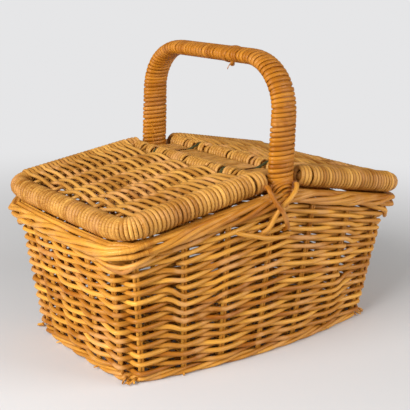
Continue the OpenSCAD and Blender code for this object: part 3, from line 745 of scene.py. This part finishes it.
def cane_material(name, light, deep, worn_share, fineness=2.2):
    """Varnished cane whose fibres follow each rod"""
    def build(tree, shader):
        fibre = group_node(tree, "Cane Fibre", fibre_group)
        fibre.inputs["Fineness"].default_value = fineness
        tint = group_node(tree, "Cane Tint", tint_group)
        for label in ("Fibre", "Patch", "Speck"):
            tree.links.new(fibre.outputs[label], tint.inputs[label])
        worn = bpy.context.scene.basket_finish.worn
        set_inputs(tint, {"Light": light, "Deep": deep, "Worn": worn, "Worn Share": worn_share})
        tree.links.new(tint.outputs["Color"], shader.inputs["Base Color"])
        tree.links.new(tint.outputs["Roughness"], shader.inputs["Roughness"])
        tree.links.new(bump_node(tree, tint.outputs["Height"], 0.35, 0.0004), shader.inputs["Normal"])
        set_inputs(shader, {"Specular IOR Level": 0.18, "Coat Weight": 0.12, "Coat Roughness": 0.22})
    return made_once(name, build)


def body_cane():
    c = bpy.context.scene.basket_finish
    return cane_material("Body cane", c.body_light, c.body_deep, 0.75)


def lid_cane():
    c = bpy.context.scene.basket_finish
    return cane_material("Lid cane", c.lid_light, c.lid_deep, 0.8)


def handle_cane():
    c = bpy.context.scene.basket_finish
    return cane_material("Handle cane", c.handle_light, c.handle_deep, 0.35, 3.0)


def core_cane():
    """Plain pole cane of the solids that stay in view, with a fine grain"""
    def build(tree, shader):
        c = bpy.context.scene.basket_finish
        grain = noise_node(tree, object_place(tree), 160.0, 3.0)
        colour = blend_node(tree, grain, tuple(c.handle_deep), tuple(c.lid_deep))
        tree.links.new(colour, shader.inputs["Base Color"])
        tree.links.new(plus(tree, times(tree, grain, 0.2), 0.45), shader.inputs["Roughness"])
    return made_once("Core cane", build)


def cord_material():
    """Dull olive-black cord with a fine twist"""
    def build(tree, shader):
        wave = tree.nodes.new("ShaderNodeTexWave")
        wave.bands_direction = "DIAGONAL"
        wave.inputs["Scale"].default_value = 6.0
        tree.links.new(uv_node(tree), wave.inputs["Vector"])
        twist = wave.outputs["Fac"]
        dark = tuple(bpy.context.scene.basket_finish.cord)
        pale = (dark[0] * 2.4, dark[1] * 2.4, dark[2] * 2.2, 1)
        tree.links.new(blend_node(tree, twist, dark, pale), shader.inputs["Base Color"])
        tree.links.new(bump_node(tree, twist, 0.5, 0.0003), shader.inputs["Normal"])
        set_inputs(shader, {"Roughness": 0.75, "Specular IOR Level": 0.15})
    return made_once("Tie cord", build)


# Pieces

class BASKET_OT_side_weave(bpy.types.Operator):
    """Weaves the rods of all four sides in and out of the stakes"""
    bl_idname = "basket.side_weave"
    bl_label = "Side weave"

    def execute(self, context):
        rods = context.scene.basket_rods
        rng = random.Random(WEAVE_SEED)
        bm = new_piece()
        swing = (rods.stake_d + rods.weaver_d) / 2
        for row in range(rods.row_n):
            self.full_row(bm, rods, rng, swing, row)
        for side in (FRONT, BACK):
            for pair in range(len(SHORT_ROWS)):
                self.short_pair(bm, rods, rng, swing, side, pair)
        finish_piece(bm, "side_weave", "basket", "cane", body_cane(),
                     "front_weave", "back_weave", "left_weave", "right_weave")
        return {"FINISHED"}

    def full_row(self, bm, rods, rng, swing, row):
        """A rod all the way round"""
        d = rods.weaver_d * rng.uniform(0.93, 1.08)
        lift, sway, swell = Wobble(rng, (2, 5, 11)), Wobble(rng, (3, 7, 13)), Wobble(rng, (4, 9, 17))
        path, widths, wears = [], [], []
        for side, t, phase in round_trip(WEAVE_STEPS):
            turn = math.tau * phase / STAKE_N
            out = swing * math.cos(math.pi * (phase + row)) + WEAVE_SWAY * sway(turn)
            p = corner_point(side, t, full_row_height(row, rods.row_n, side, t), WALL_T / 2 - out)
            p.z += WEAVE_LIFT * lift(turn)
            path.append(p)
            widths.append(d * SIDE_FULLNESS[side] * (1 + WEAVE_SWELL * swell(turn)))
            wears.append(smooth(0.5 + out / swing / 2))
        add_rod(bm, path, UP, widths, sides=8, closed=True, tone=rng.random(), wear=wears)

    def short_pair(self, bm, rods, rng, swing, side, pair):
        """A rod that runs out along one short row and back along the next"""
        after, a, b = SHORT_ROWS[pair]
        stakes = SIDE_STAKES[side]
        first = sum(len(SIDE_STAKES[k]) for k in range(side))
        d = rods.weaver_d * SIDE_FULLNESS[side] * rng.uniform(0.92, 1.02)
        path = []
        for second in (False, True):
            steps = [(t, phase, swing) for t, phase in self.short_steps(stakes, a, b)]
            if second:
                steps.reverse()
            steps.append((stakes[a] - SHORT_TURN if second else stakes[b] + SHORT_TURN, 0, 0.0))
            for t, phase, reach in steps:
                out = reach * math.cos(math.pi * (first + phase + after + (0 if second else 1)))
                f = short_row_height(pair, second, rods.row_n, side, t)
                path.append(wall_point(side, t, f, WALL_T / 2 - out))
        add_rod(bm, path, UP, d, sides=8, closed=True, tone=rng.random(), wear=0.5)

    def short_steps(self, stakes, a, b):
        """Places and phases from stake a to stake b"""
        steps = []
        for k, f in between(b - a + 1, WEAVE_STEPS):
            steps.append((mix(stakes[a + k], stakes[a + k + 1], f), a + k + f))
        return steps + [(stakes[b], b)]


class BASKET_OT_stakes(bpy.types.Operator):
    """Stands the stake pairs up the middle of the walls"""
    bl_idname = "basket.stakes"
    bl_label = "Stakes"

    def execute(self, context):
        rods = context.scene.basket_rods
        rng = random.Random(STAKE_SEED)
        bm = new_piece()
        for side, stakes in enumerate(SIDE_STAKES):
            run, axis = (RIM_L / 2, X_AXIS) if is_long(side) else (RIM_W / 2, Y_AXIS)
            for t in stakes:
                for pair in (-1, 1):
                    lean = Wobble(rng, (3, 6, 9))
                    path = []
                    for i in range(13):
                        f = mix(STAKE_FOOT, STAKE_HEAD, i / 12)
                        shift = pair * (rods.stake_d + STAKE_GAP) / 2 + STAKE_LEAN * lean(f)
                        path.append(wall_point(side, t + shift / run, f, WALL_T / 2))
                    add_rod(bm, path, axis, rods.stake_d * rng.uniform(0.9, 1.05), sides=7,
                            tone=rng.uniform(0.3, 1.0), wear=0.2)
        finish_piece(bm, "stake_rods", "basket", "cane_deep", body_cane(), "stakes")
        return {"FINISHED"}


class BASKET_OT_foot(bpy.types.Operator):
    """Twines the foot border and leaves the cut stake ends at its corners"""
    bl_idname = "basket.foot"
    bl_label = "Foot border"

    def execute(self, context):
        rng = random.Random(FOOT_SEED)
        bm = new_piece()
        coarse = [corner_point(side, t, 0.0, WALL_T / 2) for side, t, _ in round_trip(FOOT_STEPS)]
        loop = [coarse[k].lerp(coarse[k + 1], f) for k, f in between(len(coarse), 3)]
        loop += [coarse[-1].lerp(coarse[0], i / 3) for i in range(3)]
        for strand in range(FOOT_STRANDS):
            self.strand(bm, rng, loop, strand)
        for side in range(4):
            self.cut_ends(bm, rng, side)
        finish_piece(bm, "foot_strands", "basket", "cane", body_cane(), "foot_border")
        return {"FINISHED"}

    def strand(self, bm, rng, loop, strand):
        n = len(loop)
        wander = Wobble(rng, (5, 11, 19))
        path = []
        for i, p in enumerate(loop):
            out = (loop[(i + 1) % n] - loop[i - 1]).cross(UP).normalized()
            a = math.tau * (FOOT_TURNS * i / n + strand / FOOT_STRANDS) + 0.4 * wander(math.tau * i / n)
            middle = Vector((p.x, p.y, FOOT_MID_Z))
            path.append(middle + out * (FOOT_SWING_OUT * math.cos(a)) + UP * (FOOT_SWING_UP * math.sin(a)))
        add_rod(bm, path, UP, FOOT_STRAND_D, sides=7, closed=True, tone=rng.random(), wear=0.6)

    def cut_ends(self, bm, rng, side):
        """Short ends at both corners of a side and by some of its stakes"""
        spots = [CUT_END_T - CUT_WIDE_STEP * k for k in range(4)]
        spots += [CUT_CLOSE_STEP * k - CUT_END_T for k in range(3)]
        spots += [t + rng.uniform(-0.03, 0.03) for t in SIDE_STAKES[side][1:-1:2]]
        for t in spots:
            root = wall_point(side, t, 0.0, WALL_T / 2)
            out = wall_point(side, t, 0.0, 0.0) - root
            out.z = 0
            out.normalize()
            along = out.cross(UP) * rng.uniform(-0.7, 0.7)
            reach = rng.uniform(*CUT_END_REACH)
            start = Vector((root.x, root.y, rng.uniform(*CUT_ROOT_Z)))
            tip = start + (out + along) * reach
            tip.z = rng.uniform(*CUT_TIP_Z)
            widths = [*CUT_END_D, rng.uniform(*CUT_TIP_D)]
            add_rod(bm, [start, start.lerp(tip, 0.5), tip], UP, widths, sides=6, tone=rng.random(), wear=0.8)


class BASKET_OT_base(bpy.types.Operator):
    """Weaves the base mat over its sticks"""
    bl_idname = "basket.base"
    bl_label = "Base mat"

    def execute(self, context):
        rng = random.Random(BASE_SEED)
        bm = new_piece()
        swing = (BASE_STICK_D + BASE_STRIP_T) / 2
        sticks = [BASE_HALF_W * (2 * (k + 0.5) / BASE_STICK_N - 1) for k in range(BASE_STICK_N)]
        for j in range(BASE_STRIP_N):
            x = BASE_HALF_L * (2 * (j + 0.5) / BASE_STRIP_N - 1)
            reach = BASE_HALF_W + BOW_LONG * (1 - (x / BASE_HALF_L) ** 2) - BASE_STRIP_INSET
            knots = [-reach] + sticks + [reach]
            places = [(mix(knots[k], knots[k + 1], f), k + f) for k, f in between(len(knots), 6)]
            places.append((reach, len(knots) - 1))
            path = []
            for y, phase in places:
                path.append(Vector((x, y, BASE_MID_Z + swing * math.cos(math.pi * (phase + j)))))
            add_rod(bm, path, X_AXIS, BASE_STRIP_W * rng.uniform(0.94, 1.03), BASE_STRIP_T, sides=6,
                    tone=rng.random(), wear=0.3)
        finish_piece(bm, "base_mat", "basket", "cane_deep", body_cane(), "base_weave")
        dress_node("base_sticks", core_cane())
        return {"FINISHED"}


class BASKET_OT_rim(bpy.types.Operator):
    """Lays the sweeping strands of the rim border"""
    bl_idname = "basket.rim"
    bl_label = "Rim border"

    def execute(self, context):
        rods = context.scene.basket_rods
        rng = random.Random(RIM_SEED)
        bm = new_piece()
        loop = border_loop()
        n = len(loop)
        outward = [(loop[(i + 1) % n] - loop[i - 1]).cross(UP).normalized() for i in range(n)]
        stations = [(p, outward[i], math.tau * i / n) for i, p in enumerate(loop)]
        for strand in range(BORDER_STRANDS):
            self.strand(bm, rods, rng, stations, strand)
        for rank in range(2):
            self.inner_rod(bm, rods, rng, stations, rank)
        for side in range(4):
            self.sweeps(bm, rods, rng, side)
        finish_piece(bm, "rim_strands", "basket", "cane", body_cane(), "rim_border")
        return {"FINISHED"}

    def strand(self, bm, rods, rng, stations, strand):
        wander, draw, swell = Wobble(rng, (3, 8, 15)), Wobble(rng, (4, 9, 16)), Wobble(rng, (5, 12, 21))
        d = rods.border_d * rng.uniform(0.9, 1.05)
        high, wide = (BORDER_H - d) / 2, (BORDER_W - d) / 2
        path, widths = [], []
        for p, out, q in stations:
            a = BORDER_TURNS * q + math.tau * strand / BORDER_STRANDS + 0.8 * wander(q)
            pull = BORDER_PULL * (1 + draw(q))
            path.append(p + out * ((wide - pull) * math.cos(a)) + UP * ((high - pull) * math.sin(a)))
            widths.append(d * (1 + 0.08 * swell(q)))
        self.lay(bm, rng, path, widths)

    def inner_rod(self, bm, rods, rng, stations, rank):
        """A rod along the inner edge, clear of the lids' rolls on the long sides"""
        wander, rise = Wobble(rng, (5, 9, 17)), Wobble(rng, (4, 11, 19))
        path = []
        for p, out, q in stations:
            end = smooth((abs(p.x) - INNER_END_X) / INNER_END_RUN)
            beside = min(INNER_MAX, max(INNER_MIN, abs(p.y) - INNER_Y))
            inside = mix(beside, INNER_AT_END, end) - INNER_STEP * rank
            lift = mix(INNER_LIFT, INNER_LIFT_AT_END, end) + 0.0003 * rise(q)
            path.append(p - out * (inside + 0.0006 * wander(q)) + UP * lift)
        self.lay(bm, rng, path, rods.border_d * 0.9)

    def lay(self, bm, rng, path, width):
        """Adds a strand that is paler round the left end"""
        tone = rng.uniform(0.0, 0.25)
        tones = [tone + 0.5 * smooth((-p.x - PALE_END_X) / PALE_END_RUN) for p in path]
        add_rod(bm, path, UP, width, sides=8, closed=True, tone=tones, wear=0.4)

    def sweeps(self, bm, rods, rng, side):
        """Rods that leave the border, run lower across the corner after that side and go back into it"""
        following = (side + 1) % 4
        for low, reach in SWEEPS:
            spans = [reach * (0.6 if is_long(k) else 1.2) * rng.uniform(0.9, 1.1) for k in (side, following)]
            stations = [(side, 1 - spans[0] * (1 - i / 12), 1 - i / 12) for i in range(13)]
            stations += [(following, spans[1] * i / 12 - 1, i / 12) for i in range(1, 13)]
            path = []
            for k, t, away in stations:
                depth = mix(-SWEEP_OUT, WALL_T / 2, smooth((away - 0.55) / 0.45))
                path.append(corner_point(k, t, mix(low, SWEEP_HEAD, away ** 1.4), depth))
            add_rod(bm, path, UP, rods.border_d * rng.uniform(0.8, 0.95), sides=8,
                    tone=rng.random(), wear=0.5)


class BASKET_OT_handle(bpy.types.Operator):
    """Winds flat cane round the handle and its feet"""
    bl_idname = "basket.handle"
    bl_label = "Handle"

    def execute(self, context):
        rods = context.scene.basket_rods
        rng = random.Random(HANDLE_SEED)
        bm = new_piece()
        self.hoop(bm, rods, rng)
        for turn in (1, -1):
            self.foot(bm, rods, rng, turn)
        self.knot(bm, rng)
        finish_piece(bm, "handle_cane", "basket", "cane_deep", handle_cane(), "handle_wrap", "handle_core")
        return {"FINISHED"}

    def hoop(self, bm, rods, rng):
        """The wound hoop and the rod inside it"""
        wide, deep = HANDLE_HALF_W - HANDLE_CANE_T / 2, HANDLE_HALF_T - HANDLE_CANE_T / 2
        wander, swell = Wobble(rng, (110, 290, 640)), Wobble(rng, (150, 410, 900))
        core, pitch = hoop_core(), rods.wrap_pitch
        middle = core[-1][3] / 2

        def half_width(run):
            post = smooth((abs(run - middle) - POST_RUN) / POST_BLEND)
            return wide + POST_EXTRA * post - 0.0002 * (1 + swell(run * 3))

        points, axes, runs = winding(core, half_width, pitch, per_turn=20,
                                     wander=lambda run: 0.0012 * wander(run),
                                     squash=lambda run: deep / half_width(run))
        shades = [rng.uniform(0.1, 0.9) for _ in range(int(runs[-1] / pitch) + 2)]
        widths = [rods.wrap_w * (1 + 0.08 * swell(run)) for run in runs]
        add_rod(bm, points, axes, widths, HANDLE_CANE_T, sides=8, tone=turn_tones(shades, runs, pitch),
                wear=0.4, flat=0.7)
        add_rod(bm, [sample[0] for sample in core], X_AXIS, 2 * (wide - HANDLE_CORE_IN),
                2 * (deep - HANDLE_CORE_IN), sides=16, tone=0.1)

    def foot(self, bm, rods, rng, turn):
        """Turns of cane that taper from the post down over the border, and the rod inside the wall"""
        route = spline([(turn * x, -turn * y, z) for x, y, z in FOOT_WIND], 6)
        core = core_of(route, X_AXIS * turn)
        length = core[-1][3]
        points, axes, runs = winding(
            core, lambda run: mix(FOOT_WIND_R, FOOT_WIND_TIP_R, smooth(run / length * 0.95)), FOOT_WIND_PITCH,
            per_turn=20, squash=lambda run: mix(0.58, 1.0, smooth(run / length)))
        widths = [rods.wrap_w * mix(0.95, 0.6, run / length) for run in runs]
        add_rod(bm, points, axes, widths, HANDLE_CANE_T, sides=8,
                tone=rng.uniform(0.4, 0.6), wear=0.3, flat=0.6)
        add_rod(bm, [Vector((0, -turn * y, z)) for y, z in FOOT_ROD], X_AXIS, FOOT_ROD_D, sides=12, tone=0.3)

    def knot(self, bm, rng):
        """The tucked end of the cane under the grip, with its loose fibres"""
        ring = []
        for i in range(24):
            a = math.tau * i / 24
            ring.append(Vector((HANDLE_HALF_W * math.cos(a), KNOT_Y + KNOT_SLANT * math.cos(a + 0.6),
                                HANDLE_TOP + (HANDLE_HALF_T - KNOT_IN) * math.sin(a))))
        add_rod(bm, ring, Y_AXIS, KNOT_W, HANDLE_CANE_T, sides=8, closed=True, tone=0.6, wear=0.3, flat=0.7)
        add_rod(bm, spline(TUCK, 4), X_AXIS, TUCK_W, TUCK_T, sides=8, tone=0.45, wear=0.2)
        for root, tip in FIBRES:
            bend = Vector(root).lerp(Vector(tip), 0.5) + UP * FIBRE_ARCH
            path = spline([root, bend, tip], 4)
            widths = [FIBRE_D] * (len(path) - 1) + [FIBRE_TIP_D]
            add_rod(bm, path, UP, widths, sides=5, tone=rng.random())


class BASKET_OT_lashings(bpy.types.Operator):
    """Crosses the cane over the border that holds the ends of the handle"""
    bl_idname = "basket.lashings"
    bl_label = "Handle lashings"

    def execute(self, context):
        rng = random.Random(LASHING_SEED)
        for name, turn in (("front", 1), ("back", -1)):
            bm = new_piece()
            for route in LASHINGS:
                path = spline([Vector((turn * x, -turn * y, z)) / 1000 for x, y, z in route], 6)
                add_rod(bm, path, X_AXIS, LASHING_W, LASHING_T, sides=8,
                        tone=rng.uniform(0.0, 0.35), wear=0.5)
            finish_piece(bm, name + "_lashing_rods", "basket", "cane_pale", body_cane(), name + "_lashing")
        return {"FINISHED"}


class BASKET_OT_bridge(bpy.types.Operator):
    """Winds cane round the slat between the lids"""
    bl_idname = "basket.bridge"
    bl_label = "Bridge"

    def execute(self, context):
        rng = random.Random(BRIDGE_SEED)
        bm = new_piece()
        near, far = TIE_Y - BRIDGE_GAP, TIE_Y + BRIDGE_GAP
        for y0, y1 in ((-BRIDGE_END, -far), (-near, near), (far, BRIDGE_END)):
            turns = max(2, round((y1 - y0) / BRIDGE_PITCH))
            steps = turns * 30
            swell = Wobble(rng, (60, 140, 310))
            path, tones = [], []
            for i in range(steps + 1):
                q = math.tau * turns * i / steps
                x = BRIDGE_HALF_W * signed_power(math.cos(q), BRIDGE_SQUARE)
                y = mix(y0 + BRIDGE_INSET, y1 - BRIDGE_INSET, i / steps)
                z = SLAT_Z + BRIDGE_RAISE + BRIDGE_HALF_H * signed_power(math.sin(q), BRIDGE_SQUARE)
                path.append(Vector((x, y, z)))
                tones.append(0.35 + 0.3 * swell(i / steps * 0.3))
            add_rod(bm, path, Y_AXIS, BRIDGE_PITCH * BRIDGE_CANE_SHARE, BRIDGE_CANE_T, sides=8,
                    tone=tones, wear=0.7)
        finish_piece(bm, "bridge_cane", "basket", "cane_pale", lid_cane(), "bridge_wrap")
        dress_node("bridge_core", core_cane())
        return {"FINISHED"}


class BASKET_OT_ties(bpy.types.Operator):
    """Loops the hinge ties through the bridge and round the hinge rods"""
    bl_idname = "basket.ties"
    bl_label = "Hinge ties"

    def execute(self, context):
        near, far = Vector((TIE_X, 0, SLAT_Z)), Vector((HINGE_X, 0, HINGE_Z))
        run = (far - near).normalized()
        rise = Vector((-run.z, 0, run.x))
        loop = []
        for centre, start in ((far, -90), (near, 90)):
            for i in range(13):
                a = math.radians(start + 180 * i / 12)
                loop.append(centre + run * (TIE_R * math.cos(a)) + rise * (TIE_R * math.sin(a)))
        for name, side in (("left", -1), ("right", 1)):
            bm = new_piece()
            for y in (-TIE_Y, TIE_Y):
                for turn in (-1, 1):
                    path = [Vector((side * p.x, y + turn * TIE_APART / 2, p.z)) for p in loop]
                    add_rod(bm, path, Y_AXIS, TIE_D, sides=8, closed=True)
            finish_piece(bm, name + "_tie_loops", "basket", "tie", cord_material(), name + "_hinge_ties")
        return {"FINISHED"}


class BASKET_OT_lids(bpy.types.Operator):
    """Weaves both lids, binds their edges and wraps their hinge rods"""
    bl_idname = "basket.lids"
    bl_label = "Lids"

    def execute(self, context):
        rods = context.scene.basket_rods
        for name, side in (("left_lid", -1), ("right_lid", 1)):
            rng = random.Random(LID_SEED + side)
            along_u = (lid_point(side, 1, 0, 0) - lid_point(side, 0, 0, 0)).normalized()
            up_w = (lid_point(side, 0, 0, 1) - lid_point(side, 0, 0, 0)).normalized()
            self.strips(rods, rng, name, side, along_u)
            self.sticks(rng, name, side)
            self.edge(rods, rng, name, side, up_w)
            self.hinge(rng, name, side, up_w)
        return {"FINISHED"}

    def strips(self, rods, rng, name, side, along_u):
        """The woven strips with their rolled ends, and the plain turns of the rolls by the hinge"""
        bm = new_piece()
        pitch = (END_U - LID_CORNER + PANEL_PAST - PANEL_U0) / rods.strip_n
        for j in range(rods.strip_n):
            u = PANEL_U0 + (j + 0.5) * pitch
            lean = Wobble(rng, (30, 70, 120))
            path = [lid_point(side, u + STRIP_SWAY * lean(v), v, w) for v, w in lid_strip(j, u, rods.strip_t)]
            wide = rods.strip_w * rng.uniform(0.93, 1.03)
            slims = [smooth((abs(p.y) - STRIP_SLIM_V) / STRIP_SLIM_RUN) for p in path]
            widths = [wide * mix(0.97, 0.95, slim) for slim in slims]
            wears = [1.0 if abs(p.y) < STRIP_WORN_V else 0.5 for p in path]
            shade = 0.25 * math.sin(u * 43) + 0.15 * math.sin(u * 95 + 1)
            tone = share(0.42 + shade + rng.uniform(-0.35, 0.35))
            add_rod(bm, path, along_u, widths, rods.strip_t, sides=7, tone=tone, wear=wears, flat=STRIP_FLAT)
        for u, r in HINGE_TURNS:
            turn = curl(r - rods.strip_t / 2, HINGE_TURN_CURL, 20)
            for front in (-1, 1):
                path = [lid_point(side, u + HINGE_TURN_SLANT * math.cos(a), front * v, w) for a, v, w in turn]
                add_rod(bm, path, along_u, rods.strip_w * rng.uniform(0.92, 1.0), rods.strip_t, sides=7,
                        tone=rng.uniform(0.3, 0.8), wear=0.5, flat=STRIP_FLAT)
        finish_piece(bm, name + "_strips", name, "cane_pale", lid_cane(),
                     name + "_weave", name + "_front_roll", name + "_back_roll")

    def sticks(self, rng, name, side):
        """The sticks from the end binding to the hinge rod, hooked round it"""
        bm = new_piece()
        route = []
        for i in range(21):
            u = mix(STICK_U1, STICK_U0, i / 20)
            route.append((u, panel_w(u)))
        for i in range(15):
            a = math.radians(mix(45, 330, i / 14))
            route.append((STICK_HOOK_R * math.cos(a), STICK_HOOK_R * math.sin(a)))
        for v in LID_STICKS:
            path = [lid_point(side, u, v, w) for u, w in route]
            add_rod(bm, path, Y_AXIS, STICK_W, STICK_T, sides=8, tone=rng.random(), wear=0.5)
        finish_piece(bm, name + "_stick_rods", name, "cane_pale", lid_cane(), name + "_sticks")

    def edge(self, rods, rng, name, side, up_w):
        """The binding round the end and its corners, and the frame rod inside it"""
        bm = new_piece()
        turn, straight = END_U - LID_CORNER, SIDE_V - LID_CORNER
        corner = [(turn - EDGE_LEAD, SIDE_V)]
        for i in range(13):
            a = math.pi / 2 * (1 - i / 12)
            corner.append((turn + LID_CORNER * math.cos(a), straight + LID_CORNER * math.sin(a)))
        outline = corner + [(END_U, mix(straight, -straight, i / 24)) for i in range(1, 24)]
        outline += [(u, -v) for u, v in reversed(corner)]
        sags = [-EDGE_DROP - EDGE_SAG * smooth((SIDE_V - abs(v)) / EDGE_SAG_RUN) for _, v in outline]
        core = core_of([lid_point(side, u, v, w) for (u, v), w in zip(outline, sags)], up_w)
        length, bend = core[-1][3], math.pi / 2 * LID_CORNER
        swell = Wobble(rng, (60, 170, 420))

        def crowd(run):
            bends = min(1, run / bend) + max(0, (run - length + bend) / bend)
            return bend * bends + 0.0004 * swell(run)

        def radius(run):
            fuller = EDGE_FULLER * smooth((min(run, length - run) - bend) / EDGE_FULLER_RUN)
            return END_ROLL_R - EDGE_CANE_T / 2 + fuller

        def width(run):
            corner_share = smooth((bend + EDGE_SLIM_PAST - min(run, length - run)) / EDGE_SLIM_RUN)
            return rods.bind_w * mix(0.95, 0.80, corner_share) * (1 + 0.05 * swell(3 * run))

        points, axes, runs = winding(core, radius, EDGE_PITCH, per_turn=30, wander=crowd)
        count = int(runs[-1] / EDGE_PITCH) + 2
        shades = []
        for k in range(count):
            shade = mix(0.12, 0.45, k / count) + 0.3 * swell(2 * EDGE_PITCH * k)
            shades.append(share(shade + rng.uniform(-0.3, 0.3)))
        add_rod(bm, points, axes, [width(run) for run in runs], EDGE_CANE_T, sides=8,
                tone=turn_tones(shades, runs, EDGE_PITCH), wear=0.6)
        leg = [(mix(FRAME_U0, turn - FRAME_GAP, i / 8), SIDE_V) for i in range(9)]
        route = leg + outline[1:-1] + [(u, -v) for u, v in reversed(leg)]
        add_rod(bm, [lid_point(side, u, v, 0) for u, v in route], up_w, FRAME_D, sides=12, tone=0.2)
        finish_piece(bm, name + "_edge_binding", name, "cane_deep", lid_cane(),
                     name + "_end_binding", name + "_frame")

    def hinge(self, rng, name, side, up_w):
        """The hinge rod and its wraps, which leave room for the sticks and the ties"""
        bm = new_piece()
        stops = sorted([(v, STICK_GAP) for v in LID_STICKS] + [(-TIE_Y, TIE_GAP), (TIE_Y, TIE_GAP)])
        starts = [-HINGE_WRAP_V] + [v + gap for v, gap in stops]
        ends = [v - gap for v, gap in stops] + [HINGE_WRAP_V]
        for v0, v1 in zip(starts, ends):
            run = [mix(v0 + HINGE_WRAP_INSET, v1 - HINGE_WRAP_INSET, i / 4) for i in range(5)]
            core = core_of([lid_point(side, 0, v, 0) for v in run], up_w)
            points, axes, runs = winding(core, HINGE_WRAP_R - HINGE_WRAP_T / 2, HINGE_WRAP_PITCH,
                                         start=rng.uniform(0, 6), per_turn=18)
            shade = rng.uniform(0.35, 0.75)
            tones = [shade + 0.15 * math.sin(900 * r) for r in runs]
            add_rod(bm, points, axes, HINGE_WRAP_W, HINGE_WRAP_T, sides=8, tone=tones, wear=0.9)
        rod = [lid_point(side, 0, mix(-HINGE_ROD_V, HINGE_ROD_V, i / 8), 0) for i in range(9)]
        add_rod(bm, rod, up_w, HINGE_ROD_D, sides=12, tone=0.2)
        finish_piece(bm, name + "_hinge_wraps", name, "cane_pale", lid_cane(),
                     name + "_hinge_binding", name + "_hinge_rod")


class BASKET_OT_stage(bpy.types.Operator):
    """Sets the floor, the lamps, the background and the camera"""
    bl_idname = "basket.stage"
    bl_label = "Stage"

    def execute(self, context):
        scene = context.scene
        stage = scene.basket_stage
        scene.view_settings.view_transform = "Standard"
        bm = bmesh.new()
        bmesh.ops.create_grid(bm, x_segments=2, y_segments=2, size=FLOOR_REACH)
        mesh = bpy.data.meshes.new("floor")
        bm.to_mesh(mesh)
        bm.free()
        floor = bpy.data.objects.new("floor", mesh)
        scene.collection.objects.link(floor)
        mesh.materials.append(self.floor_material(stage))
        self.sky(scene, stage)
        self.lamp(scene, "key", KEY_AT, KEY_SIZE, stage.key)
        self.lamp(scene, "fill", FILL_AT, FILL_SIZE, stage.key * FILL_SHARE)
        self.camera(scene)
        return {"FINISHED"}

    def floor_material(self, stage):
        """Pale floor that fades into the background away from the basket"""
        def build(tree, shader):
            set_inputs(shader, {"Base Color": stage.floor, "Roughness": 0.9, "Specular IOR Level": 0.0})
            glow = tree.nodes.new("ShaderNodeEmission")
            glow.inputs["Color"].default_value = stage.background
            far = tree.nodes.new("ShaderNodeVectorMath")
            far.operation = "LENGTH"
            tree.links.new(object_place(tree), far.inputs[0])
            fade = ramp_node(tree, far.outputs["Value"], FADE_FROM, FADE_TO)
            seen = times(tree, fade, seen_by_camera(tree))
            blend_shaders(tree, seen, shader, glow, tree.nodes["Material Output"])
        return made_once("Floor", build)

    def sky(self, scene, stage):
        """Even warm light, with the plain background in its place for the camera"""
        scene.world = bpy.data.worlds.new("Studio")
        scene.world.use_nodes = True
        tree = scene.world.node_tree
        light = tree.nodes["Background"]
        set_inputs(light, {"Color": SKY_TINT, "Strength": stage.sky})
        shown = tree.nodes.new("ShaderNodeBackground")
        shown.inputs["Color"].default_value = stage.background
        blend_shaders(tree, seen_by_camera(tree), light, shown, tree.nodes["World Output"])

    def lamp(self, scene, name, place, size, power):
        data = bpy.data.lights.new(name, "AREA")
        data.size = size
        data.energy = power
        lamp = bpy.data.objects.new(name, data)
        lamp.location = place
        lamp.rotation_euler = (Vector(LAMP_TARGET) - Vector(place)).to_track_quat("-Z", "Y").to_euler()
        scene.collection.objects.link(lamp)

    def camera(self, scene):
        azimuth, elevation, roll = map(math.radians, (CAMERA_AZIMUTH, CAMERA_ELEVATION, CAMERA_ROLL))
        level = math.cos(elevation)
        back = Vector((math.sin(azimuth) * level, -math.cos(azimuth) * level, math.sin(elevation)))
        right = (-back).cross(UP).normalized()
        up = right.cross(-back)
        data = bpy.data.cameras.new("camera")
        data.sensor_width = SENSOR_W
        data.lens = SENSOR_W * FOCAL_PIXELS / PHOTO_PIXELS
        camera = bpy.data.objects.new("camera", data)
        turn = Matrix((right, up, back)).transposed() @ Matrix.Rotation(roll, 3, "Z")
        camera.matrix_world = Matrix.Translation(CAMERA_AT) @ turn.to_4x4()
        scene.collection.objects.link(camera)
        scene.camera = camera


PIECES = (BASKET_OT_side_weave, BASKET_OT_stakes, BASKET_OT_foot, BASKET_OT_base, BASKET_OT_rim,
          BASKET_OT_handle, BASKET_OT_lashings, BASKET_OT_bridge, BASKET_OT_ties, BASKET_OT_lids,
          BASKET_OT_stage)
GROUPS = (("basket_rods", BasketRods), ("basket_finish", BasketFinish), ("basket_stage", BasketStage))


class BASKET_PT_panel(bpy.types.Panel):
    """Lists the basket's pieces, sizes and colours"""
    bl_idname = "BASKET_PT_panel"
    bl_label = "Picnic Basket"
    bl_space_type = "VIEW_3D"
    bl_region_type = "UI"
    bl_category = "Basket"

    def draw(self, context):
        for piece in PIECES:
            self.layout.operator(piece.bl_idname)
        for name, group in GROUPS:
            box = self.layout.box()
            for field in group.__annotations__:
                box.prop(getattr(context.scene, name), field)


def register():
    for name, group in GROUPS:
        bpy.utils.register_class(group)
        setattr(bpy.types.Scene, name, PointerProperty(type=group))
    for piece in PIECES + (BASKET_PT_panel,):
        bpy.utils.register_class(piece)


def unregister():
    for piece in reversed(PIECES + (BASKET_PT_panel,)):
        bpy.utils.unregister_class(piece)
    for name, group in reversed(GROUPS):
        delattr(bpy.types.Scene, name)
        bpy.utils.unregister_class(group)


def main():
    register()
    for piece in PIECES:
        family, action = piece.bl_idname.split(".")
        getattr(getattr(bpy.ops, family), action)()


if __name__ == "__main__":
    main()
